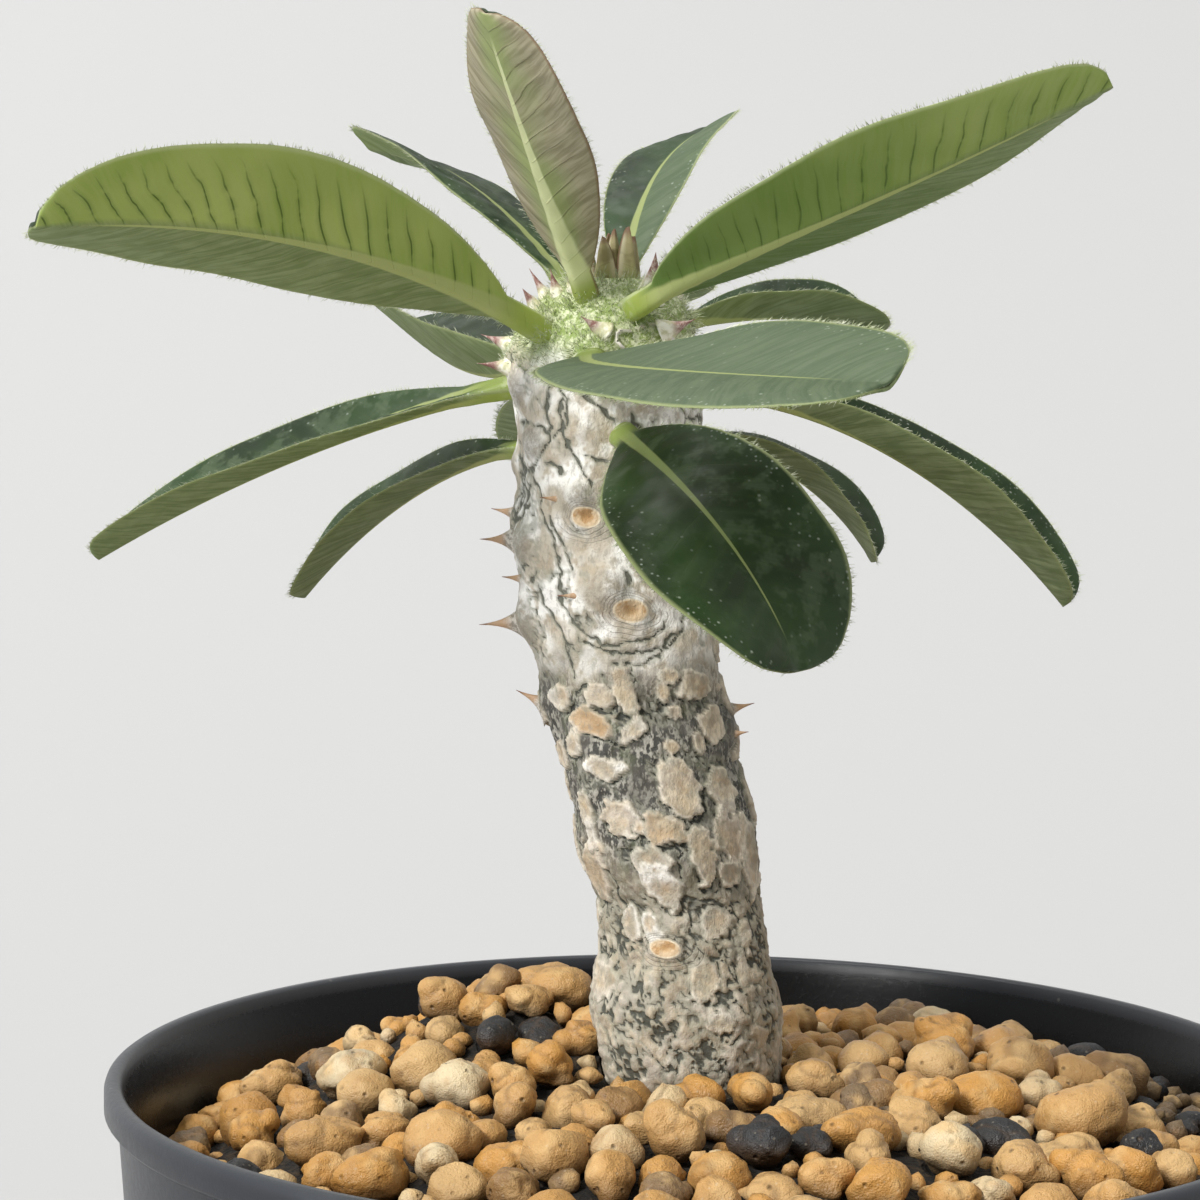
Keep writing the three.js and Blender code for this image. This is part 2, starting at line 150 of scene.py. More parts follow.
# Centre, radius and kind of the larger grains lying on the bed.
STONES = (
    (-11.5, 9.5, 2.8, "tan"), (-21, 10, 2.4, "tan"), (-16, 1, 1.9, "dark"),
    (-18.1, -6.1, 2.6, "pale"), (-13.6, -10.4, 2.3, "tan"), (-11.5, -3.6, 1.9, "ochre"),
    (-26.8, 0.5, 2.9, "pale"), (-34.3, 7.4, 2.4, "tan"), (-33.6, -5.6, 2.2, "ochre"),
    (-27, -13.2, 2.8, "tan"), (-18.4, -17, 2.5, "tan"), (-22.6, -21.5, 2.4, "ochre"),
    (-10, -22.6, 2.3, "tan"), (-7.6, -15, 1.9, "tan"), (3.6, -9.2, 2.0, "ochre"),
    (8.1, 19.1, 2.0, "tan"), (19.5, 10.7, 2.6, "ochre"), (24.5, 3.2, 3.0, "tan"),
    (16.2, -10.2, 2.2, "ochre"), (27.4, -9.6, 3.4, "tan"), (16.8, -20.8, 2.3, "pale"),
    (11.6, -28, 2.4, "ochre"), (4.2, -22.4, 2.1, "dark"), (-1.8, -20.6, 2.5, "tan"),
    (30.9, -14.4, 1.6, "dark"), (26, -21, 2.3, "ochre"),
)

# ---- Measures of the looks alone ----

# Height, azimuth, half width and half height of the scars that fallen leaves left.
LEAF_SCARS = (
    (114.8, -84, 1.3, 0.9), (121.6, -104, 1.1, 0.8), (89.8, -102, 1.2, 0.7),
    (110.0, 150, 1.3, 0.9), (124.0, 20, 1.4, 1.0), (116.0, 130, 1.3, 0.9), (119.5, 60, 1.2, 0.9),
    (104.0, 60, 1.2, 0.8), (97.0, 170, 1.2, 0.8), (112.0, 10, 1.2, 0.8), (90.5, 100, 1.1, 0.8),
)
# Height, azimuth, half width, half height and rise of the domed tubercles under the spines.
DOMES = (
    (123.1, -106, 1.35, 1.35, 0.75), (116.3, -95, 1.8, 1.9, 0.9), (127.1, -143, 1.7, 1.6, 0.6),
    (131.0, -160, 1.6, 1.7, 0.5), (130.6, -60, 1.9, 1.7, 0.6), (119.5, -160, 1.6, 1.9, 0.6),
    (113.8, -166, 1.7, 2.2, 0.7), (125.5, 168, 1.6, 1.7, 0.6), (127.0, 20, 1.7, 1.6, 0.6),
    (121.0, 95, 1.7, 1.8, 0.7), (115.0, 40, 1.7, 1.8, 0.7), (128.5, 110, 1.6, 1.6, 0.6),
    (112.0, 150, 1.6, 1.8, 0.6), (118.0, -25, 1.7, 1.9, 0.6),
)
# Height, azimuth, half width, half height, lean, whiteness and rust of the bark's raised plates.
PLATES = (
    (134.6, -62, 2.9, 1.2, 0, 1.0, 0.1),
    (108.0, -144, 1.5, 1.0, 0, 0.75, 0.35), (108.4, -112, 1.1, 0.9, -10, 0.9, 0.1),
    (108.9, -93, 0.8, 1.7, 5, 0.3, 0.15), (106.4, -119, 2.0, 1.1, -18, 0.25, 0.75),
    (105.9, -92, 1.4, 0.7, 35, 0.7, 0.1), (103.0, -117, 1.7, 0.8, -5, 1.0, 0.0),
    (104.7, -69, 0.6, 0.6, 0, 0.5, 0.2), (101.7, -70, 1.7, 2.3, -5, 0.45, 0.1),
    (110.0, -63, 1.0, 0.6, 0, 0.4, 0.0), (109.2, -44, 1.5, 1.2, 0, 0.35, 0.0),
    (108.7, -69, 0.5, 0.8, 0, 0.4, 0.0), (107.2, -62, 0.6, 0.6, 0, 0.5, 0.1),
    (108.3, -3, 1.9, 1.3, 0, 0.4, 0.3), (106.3, -33, 1.6, 1.4, 8, 0.4, 0.1),
    (105.0, -48, 0.5, 0.9, 0, 0.5, 0.0), (101.5, -39, 1.4, 2.1, -5, 0.5, 0.1),
    (99.9, -141, 0.7, 1.5, -6, 0.8, 0.0), (99.4, -113, 1.8, 1.4, 0, 0.75, 0.25),
    (98.8, -87, 1.7, 1.3, -8, 0.45, 0.6), (95.1, -149, 1.6, 2.7, -28, 0.5, 0.3),
    (96.5, -98, 1.8, 0.9, 0, 0.55, 0.0), (94.3, -96, 1.4, 1.7, 0, 1.0, 0.0),
    (96.7, -65, 1.1, 2.5, 0, 0.5, 0.0), (97.9, -39, 1.6, 1.9, 8, 0.5, 0.2),
    (95.2, -47, 1.3, 1.1, 0, 0.5, 0.0), (95.9, -22, 1.4, 3.2, -3, 0.5, 0.0),
    (91.7, -66, 1.3, 1.3, 0, 0.45, 0.0), (91.2, -127, 1.0, 1.6, 8, 0.85, 0.0),
    (91.4, -111, 0.8, 1.3, 0, 0.9, 0.0), (104.8, -137, 0.7, 1.1, -25, 0.5, 0.0),
    (97.8, -140, 0.6, 1.1, -10, 0.8, 0.0), (103.7, -158, 1.1, 1.2, -15, 0.5, 0.2),
    (87.5, -78, 1.3, 1.7, 0, 0.4, 0.1), (84.4, -70, 1.0, 0.8, 0, 0.5, 0.0),
    (86.6, -159, 2.3, 1.3, 0, 0.5, 0.1),
)
# The long cracks of the smooth upper bark, as lines of height and azimuth.
CRACKS = (
    ((131.2, -124), (129.4, -128), (128.3, -125), (127.3, -128), (126.1, -135), (125.1, -145),
     (124.8, -176)),
    ((131.2, -116), (129.4, -117), (128.0, -116), (126.5, -112), (125.4, -106), (124.2, -99),
     (122.8, -102), (121.9, -100)),
    ((130.0, -113), (128.8, -112), (127.9, -116), (127.6, -123)),
    ((125.5, -130), (125.4, -123), (124.6, -117)),
    ((125.1, -145), (124.0, -143), (123.5, -137), (122.6, -141), (121.7, -139), (120.5, -131),
     (119.3, -129), (118.0, -129), (116.5, -129), (115.2, -131), (114.8, -126), (113.8, -123),
     (113.1, -115), (112.5, -107), (112.2, -97), (112.5, -84), (112.9, -71), (113.7, -61)),
    ((121.6, -132), (120.2, -126), (118.9, -121), (117.6, -118)),
    ((116.2, -170), (114.5, -168), (113.2, -162), (111.6, -166), (109.4, -164)),
    ((116.4, -148), (114.9, -144), (113.8, -137), (112.7, -133), (111.3, -129), (109.7, -128)),
    ((112.4, -116), (111.7, -99), (111.6, -81), (112.2, -65), (113.5, -50)),
    ((117.7, -84), (117.0, -83), (116.0, -87), (115.4, -85)),
    ((130.0, -38), (128.9, -33), (127.6, -35)),
    ((128.9, -33), (129.1, -19), (129.1, 0)),
    ((129.2, -73), (128.5, -71), (127.6, -65), (126.8, -56)),
    ((128.6, -161), (128.4, -136), (127.9, -127)),
    ((130.4, -102), (129.7, -92), (128.5, -85)),
    ((126.1, -101), (125.8, -96), (125.8, -88)),
    ((124.6, -170), (123.4, -166), (122.1, -168)),
    ((114.3, -48), (112.9, -52), (111.6, -67), (110.9, -78), (110.7, -99)),
    ((106.8, -137), (107.4, -133), (108.6, -127), (109.1, -119)),
    ((107.7, -125), (107.3, -115), (107.0, -105), (106.9, -96), (107.4, -90), (108.3, -87)),
    ((99.4, -99), (98.5, -101), (97.4, -102)),
    ((97.1, -115), (96.9, -103), (97.2, -91), (97.5, -81), (98.2, -79), (99.1, -67), (99.5, -59),
     (101.4, -54), (103.1, -42)),
    ((97.5, -80), (96.1, -81), (94.6, -84), (93.2, -87), (92.6, -83), (90.8, -83)),
    ((93.5, -86), (93.4, -71), (92.9, -56), (92.9, -42)),
    ((97.4, -175), (96.4, -151), (95.6, -136), (94.3, -130), (92.8, -134)),
    ((98.5, -50), (96.9, -51), (95.5, -50), (93.9, -61)),
)
# Height, azimuth, length, tilt and foot radius of the felted scales round the growing tip.
CROWN_SCALES = (
    (137.6, -52, 3.3, 68, 1.25), (138.3, -124, 2.1, 66, 0.8),
    (138.2, 30, 2.5, 60, 0.9), (138.0, 110, 2.4, 56, 0.9), (137.0, -160, 1.6, 50, 0.8),
    (136.6, 60, 2.0, 35, 0.9), (136.2, 110, 2.2, 30, 0.9),
)
# Spines that lean sideways: place in the table of spines, and degrees.
LEANING_SPINES = {4: -58, 5: 42, 11: -62, 12: -66}
PLATE_GAP = 0.8
# Hairs on the crown's side, on its tip, and round each leaf foot.
SIDE_HAIRS, TIP_HAIRS, FOOT_HAIRS = 3600, 520, 190
# Places tried for the fill grains, the first of them for coarse ones, and the circle they lie in.
GRAIN_TRIES, COARSE_TRIES = 30000, 9000
GRAIN_CIRCLE = 42.6
COARSE_GRAINS = (2.6, 2.4, 2.2, 2.0, 1.8)
FINE_GRAINS = (0.9, 1.2, 1.5)
PEBBLE_TONES = {"tan": 0.34, "ochre": 0.60, "pale": 0.0, "dark": 1.0}
# Tones of the grains along the right wall, painted dark as shade.
HOLLOW_SHADE_TONES = (0.86, 1.0)


def smooth(low, high, value):
    """0 below low, 1 above high, and a soft step between them."""
    share = min(max((value - low) / (high - low), 0.0), 1.0)
    return share * share * (3 - 2 * share)


def blend(a, b, share):
    return a + (b - a) * share


# ---- Camera, lights and stage ----


def add_camera():
    """The photograph's view: just above the rim, a little left of straight ahead."""
    yaw, pitch, roll = math.radians(-2.49), math.radians(-2.43), math.radians(0.6)
    forward = Vector((
        math.sin(yaw) * math.cos(pitch),
        math.cos(yaw) * math.cos(pitch),
        math.sin(pitch),
    ))
    level = Vector((math.cos(yaw), -math.sin(yaw), 0))
    upright = level.cross(forward)
    right = level * math.cos(roll) + upright * math.sin(roll)
    up = upright * math.cos(roll) - level * math.sin(roll)
    data = bpy.data.cameras.new("camera")
    data.lens = 75.0
    data.sensor_width = 36.0
    data.clip_start = 0.01
    camera = bpy.data.objects.new("camera", data)
    camera.matrix_world = Matrix((right, up, -forward)).transposed().to_4x4()
    camera.location = Vector((0, -189.95, 123.32)) * MM
    bpy.context.collection.objects.link(camera)
    bpy.context.scene.camera = camera


def aim_light(name, kind, place, aim, power, colour):
    """A lamp at one place, looking at another."""
    data = bpy.data.lights.new(name, kind)
    data.energy = power
    data.color = colour
    light = bpy.data.objects.new(name, data)
    light.location = place
    towards = Vector(aim) - Vector(place)
    light.rotation_euler = towards.to_track_quat("-Z", "Y").to_euler()
    bpy.context.collection.objects.link(light)
    return data


def add_studio():
    """Pale surroundings, a broad key from the front left, light from above, a window and a wash."""
    world = bpy.data.worlds.new("studio")
    world.use_nodes = True
    room = world.node_tree.nodes["Background"]
    room.inputs["Color"].default_value = (0.97, 0.985, 1.0, 1)
    room.inputs["Strength"].default_value = 0.47
    bpy.context.scene.world = world
    bpy.context.scene.view_settings.view_transform = "Standard"
    key = aim_light("key_light", "SUN", (-0.55, -0.60, 0.80), (0, 0, 0.11), 3.1, (1.0, 0.985, 0.96))
    key.angle = math.radians(16)
    top = aim_light("top_light", "SUN", (-0.15, 0.20, 1.00), (0, 0, 0.11), 1.1, (1.0, 1.0, 0.98))
    top.angle = math.radians(35)
    window = aim_light(
        "window_light", "AREA", (-0.59, -0.45, 0.175), (0.02, 0.035, 0.078), 1.3, (0.78, 0.88, 1.0))
    window.shape = "RECTANGLE"
    window.size = 0.30
    window.size_y = 0.035
    wash = aim_light(
        "backdrop_light", "AREA", (-0.75, 0.10, 1.10), (-0.3, 1.3, 0.6), 2.6, (1.0, 1.0, 1.0))
    wash.size = 0.8
    wash.spread = math.radians(120)


def add_stage():
    """A pale floor that sweeps up into a backdrop."""
    mesh = bmesh.new()
    bmesh.ops.create_grid(mesh, x_segments=2, y_segments=60, size=1.0)
    for vertex in mesh.verts:
        run = (vertex.co.y + 1.0) * 1.6
        turn = min(max(run - 1.0, 0.0), 1.2) / 1.2 * math.pi / 2
        vertex.co.x *= 3.0
        vertex.co.y = -1.0 + min(run, 1.0) + 0.764 * math.sin(turn)
        vertex.co.z = 0.764 * (1 - math.cos(turn)) + max(run - 2.2, 0.0)
    sheet = bpy.data.meshes.new("backdrop")
    mesh.to_mesh(sheet)
    mesh.free()
    sheet.polygons.foreach_set("use_smooth", [True] * len(sheet.polygons))
    backdrop = bpy.data.objects.new("backdrop", sheet)
    bpy.context.collection.objects.link(backdrop)
    paper = bpy.data.materials.new("paper_backdrop")
    paper.use_nodes = True
    shader = paper.node_tree.nodes["Principled BSDF"]
    shader.inputs["Base Color"].default_value = (0.474, 0.474, 0.471, 1)
    shader.inputs["Roughness"].default_value = 0.95
    shader.inputs["Specular IOR Level"].default_value = 0.1
    sheet.materials.append(paper)


# ---- Node helpers ----


def feed(tree, source, socket):
    """Links a socket to another, or sets its value."""
    if isinstance(source, bpy.types.NodeSocket):
        tree.links.new(source, socket)
    else:
        socket.default_value = source


def put(tree, kind, inputs=None, **settings):
    """A shader node with its inputs fed."""
    node = tree.nodes.new("ShaderNode" + kind)
    for name, value in settings.items():
        setattr(node, name, value)
    for name, value in (inputs or {}).items():
        feed(tree, value, node.inputs[name])
    return node


def calc(tree, operation, *values, clamp=False):
    """One sum of one to three values."""
    inputs = dict(enumerate(values))
    return put(tree, "Math", inputs, operation=operation, use_clamp=clamp).outputs[0]


def times(tree, first, *others):
    """The product of two or more values."""
    for other in others:
        first = calc(tree, "MULTIPLY", first, other)
    return first


def step(tree, value, low, high, out_low=0.0, out_high=1.0):
    """Soft step of a value from one number to another."""
    return put(tree, "MapRange", {
        "Value": value, "From Min": low, "From Max": high, "To Min": out_low, "To Max": out_high,
    }, interpolation_type="SMOOTHSTEP").outputs["Result"]


def mixed(tree, share, *colours):
    """One colour over another by a share."""
    node = put(tree, "Mix", {0: share}, data_type="RGBA", clamp_factor=True)
    for index, value in zip((6, 7), colours):
        given = isinstance(value, bpy.types.NodeSocket)
        feed(tree, value if given else (*value, 1.0), node.inputs[index])
    return node.outputs[2]


def layered(tree, colour, *coats):
    """A colour with coats over it, each a share and a colour."""
    for share, coat in coats:
        colour = mixed(tree, share, colour, coat)
    return colour


def split(tree, vector):
    return put(tree, "SeparateXYZ", {"Vector": vector}).outputs


def trait(tree, name):
    """The three values of a mesh attribute."""
    return split(tree, put(tree, "Attribute", attribute_name=name).outputs["Vector"])


def own_place(tree):
    return put(tree, "TexCoord").outputs["Object"]


def noisy(tree, place, scale, detail=2.0, roughness=0.5):
    return put(tree, "TexNoise", {
        "Vector": place, "Scale": scale, "Detail": detail, "Roughness": roughness,
    }).outputs["Fac"]


def new_group(name, inputs, output):
    """An empty node group with float sockets: its tree, what it is given, and its output."""
    tree = bpy.data.node_groups.new(name, "ShaderNodeTree")
    for socket, default in inputs.items():
        made = tree.interface.new_socket(socket, in_out="INPUT", socket_type="NodeSocketFloat")
        made.default_value = default
    tree.interface.new_socket(output, in_out="OUTPUT", socket_type="NodeSocketFloat")
    given = tree.nodes.new("NodeGroupInput").outputs
    return tree, given, tree.nodes.new("NodeGroupOutput").inputs[output]


def make_grit_group():
    """Fine uneven grain: two sizes of noise, scaled by Size per metre."""
    tree, given, made = new_group("grit", {"Size": 1500.0}, "Grain")
    place = own_place(tree)
    coarse = noisy(tree, place, given["Size"], 2.0, 0.6)
    fine = noisy(tree, place, times(tree, given["Size"], 4.6), 1.0, 0.6)
    feed(tree, calc(tree, "ADD", times(tree, coarse, 0.65), times(tree, fine, 0.35)), made)
    return tree


def make_speck_group():
    """Scattered round specks; Amount is the share of cells that carry one."""
    tree, given, made = new_group("specks", {"Size": 900.0, "Amount": 0.2, "Width": 0.2}, "Mask")
    cells = put(tree, "TexVoronoi", {"Vector": own_place(tree), "Scale": given["Size"]}).outputs
    chosen = calc(tree, "LESS_THAN", split(tree, cells["Color"])[0], given["Amount"])
    away = calc(tree, "DIVIDE", cells["Distance"], given["Width"])
    feed(tree, times(tree, chosen, calc(tree, "SUBTRACT", 1.0, away, clamp=True)), made)
    return tree


def grouped(tree, group, **inputs):
    """A node group's one output, with its inputs fed."""
    node = put(tree, "Group", node_tree=group)
    for name, value in inputs.items():
        feed(tree, value, node.inputs[name])
    return node.outputs[0]


def new_material(name):
    material = bpy.data.materials.new(name)
    material.use_nodes = True
    return material, material.node_tree, material.node_tree.nodes["Principled BSDF"].inputs


def coat(tree, sockets, colour, roughness, relief, strength, depth):
    """Feeds a shader its colour, roughness and relief; depth in metres."""
    feed(tree, colour, sockets["Base Color"])
    feed(tree, roughness, sockets["Roughness"])
    bump = put(tree, "Bump", {"Height": relief, "Strength": strength, "Distance": depth})
    feed(tree, bump.outputs[0], sockets["Normal"])


# ---- Finishes ----


def make_pot_plastic(grit, specks):
    """Black plastic: shiny and darker inside, rougher and lighter outside, lighter along the top of
    the rim, with a little dust.
    """
    material, tree, sockets = new_material("black_moulded_plastic")
    place = own_place(tree)
    grain = grouped(tree, grit, Size=1800.0)
    dust = grouped(tree, specks, Size=420.0, Amount=0.10, Width=0.10)
    haze = step(tree, noisy(tree, place, 60.0, 3.0), 0.4, 0.75)
    along_x, along_y, height = split(tree, place)
    reach = calc(tree, "SQRT", calc(
        tree, "ADD", times(tree, along_x, along_x), times(tree, along_y, along_y)))
    slope = (POT_RIM_RADIUS - LIP_OVERHANG - POT_FOOT_RADIUS) / POT_HEIGHT
    beyond = calc(
        tree, "SUBTRACT", reach, calc(tree, "MULTIPLY_ADD", height, slope, POT_FOOT_RADIUS * MM))
    outside = step(tree, beyond, -0.0007, -0.0004)
    # Darker inside than outside, and lighter along the top of the rim.
    colour = layered(
        tree, mixed(tree, haze, (0.0025, 0.0026, 0.0032), (0.004, 0.0045, 0.006)),
        (outside, mixed(tree, haze, (0.030, 0.031, 0.036), (0.042, 0.043, 0.048))),
        (step(tree, height, 0.0790, 0.0801, 0.0, 0.3), (0.08, 0.09, 0.10)),
        (times(tree, dust, 0.5), (0.30, 0.29, 0.26)),
    )
    sockets["Specular IOR Level"].default_value = 0.28
    dullness = calc(tree, "MULTIPLY_ADD", outside, 0.10, step(tree, grain, 0.3, 0.7, 0.22, 0.28))
    coat(tree, sockets, colour, dullness, grain, 0.25, 0.00008)
    return material


def make_bark_finish(grit):
    """Silver skin, tan plates, dark fissures, leaf scars and the green crown, by attributes."""
    material, tree, sockets = new_material("fissured_bark")
    plate, crack, white = trait(tree, "bark")
    scar, knob, crown = trait(tree, "marks")
    rust, moss, rim = trait(tree, "stain")
    place = own_place(tree)
    upright = put(tree, "Mapping", {"Vector": place, "Scale": (1.0, 1.0, 0.55)}).outputs[0]
    grain = grouped(tree, grit, Size=1900.0)
    patch = noisy(tree, place, 300.0, 2.0)
    cloud = noisy(tree, place, 800.0, 2.0, 0.6)
    fibre = noisy(tree, upright, 2500.0, 2.0, 0.65)
    # Dark fibrous ground with plates on it, of tan cork or whitish skin.
    ground = layered(
        tree,
        mixed(tree, step(tree, fibre, 0.44, 0.60), (0.052, 0.049, 0.040), (0.42, 0.395, 0.335)),
        (step(tree, patch, 0.42, 0.65, 0.0, 0.6), (0.128, 0.118, 0.098)),
    )
    tan = mixed(tree, step(tree, cloud, 0.38, 0.60), (0.30, 0.23, 0.14), (0.60, 0.505, 0.355))
    skin = layered(
        tree,
        mixed(tree, step(tree, patch, 0.40, 0.58), (0.54, 0.475, 0.375), (0.93, 0.905, 0.845)),
        (step(tree, cloud, 0.52, 0.66, 0.0, 0.7), (0.40, 0.32, 0.22)),
    )
    # Wrinkles lie in rings round each leaf scar; their grooves are coloured darker, a painted
    # shade.
    rings = calc(tree, "SINE", calc(tree, "ADD", times(tree, scar, 60.0), times(tree, patch, 22.0)))
    near = times(tree, step(tree, scar, 0.25, 0.6), step(tree, scar, 0.70, 0.76, 1.0, 0.0))
    wrinkle = times(tree, step(tree, rings, 0.55, 0.95), near)
    line = step(tree, crack, 0.62, 0.86)
    disc = layered(
        tree, mixed(tree, step(tree, scar, 0.84, 0.98), (0.70, 0.52, 0.32), (0.56, 0.35, 0.16)),
        (step(tree, cloud, 0.50, 0.62, 0.0, 0.8), (0.50, 0.28, 0.11)),
        (step(tree, scar, 0.77, 0.80, 1.0, 0.0), (0.78, 0.66, 0.48)),
    )
    wool = step(tree, noisy(tree, place, 1700.0, 4.0, 0.7), 0.44, 0.62)
    colour = layered(
        tree, mixed(tree, plate, ground, mixed(tree, white, tan, skin)),
        (times(tree, rust, 0.75), (0.50, 0.29, 0.12)),
        (times(tree, rim, 0.8), (0.82, 0.75, 0.62)),
        (times(tree, step(tree, fibre, 0.52, 0.66, 0.0, 0.45), plate), (0.30, 0.27, 0.22)),
        (times(tree, knob, step(tree, grain, 0.36, 0.62, 0.5, 1.0)), (0.23, 0.20, 0.155)),
        (times(tree, moss, step(tree, cloud, 0.42, 0.58), 0.35), (0.085, 0.105, 0.03)),
        (times(tree, wrinkle, 0.30), (0.28, 0.25, 0.20)),
        # The crack share also carries the painted shadow along the lower edge of each plate.
        (step(tree, crack, 0.12, 0.62, 0.0, 0.6), (0.27, 0.265, 0.20)),
        (line, mixed(tree, white, (0.045, 0.046, 0.036), (0.135, 0.135, 0.10))),
        (step(tree, scar, 0.735, 0.765), disc),
        (crown, mixed(tree, wool, (0.25, 0.33, 0.085), (0.66, 0.70, 0.44))),
    )
    dull = calc(tree, "SUBTRACT", step(tree, grain, 0.3, 0.7, 0.60, 0.85), times(tree, white, 0.14))
    relief = calc(tree, "SUBTRACT", calc(tree, "ADD", grain, fibre), times(tree, wrinkle, 0.8))
    relief = calc(tree, "SUBTRACT", relief, times(tree, line, 1.2))
    coat(tree, sockets, colour, dull, relief, 0.7, 0.00016)
    return material


def make_spine_finish(grit):
    """Grey horn with brown tips; in the crown the foot is white wool and the tip reddish."""
    material, tree, sockets = new_material("horny_spine")
    reach, felt, _ = trait(tree, "spine")
    grain = grouped(tree, grit, Size=2600.0)
    fluff = noisy(tree, own_place(tree), 1500.0, 3.0)
    mound = mixed(tree, step(tree, grain, 0.40, 0.60), (0.26, 0.225, 0.175), (0.62, 0.57, 0.49))
    horn = mixed(tree, step(tree, reach, 0.70, 0.98), (0.52, 0.33, 0.19), (0.20, 0.09, 0.055))
    horn = mixed(tree, step(tree, reach, 0.34, 0.58), mound, horn)
    tip = mixed(tree, step(tree, grain, 0.42, 0.60), (0.24, 0.105, 0.085), (0.46, 0.33, 0.28))
    wool = mixed(tree, step(tree, fluff, 0.40, 0.60), (0.62, 0.60, 0.36), (0.93, 0.90, 0.74))
    bare = calc(tree, "ADD", reach, times(tree, felt, -0.35))
    colour = layered(
        tree, horn,
        (step(tree, felt, 0.2, 0.5), mixed(tree, step(tree, bare, 0.0, 0.28), wool, tip)),
        (step(tree, grain, 0.5, 0.7, 0.0, 0.35), (0.70, 0.62, 0.52)),
    )
    coat(tree, sockets, colour, step(tree, grain, 0.3, 0.7, 0.42, 0.62), grain, 0.6, 0.00012)
    return material


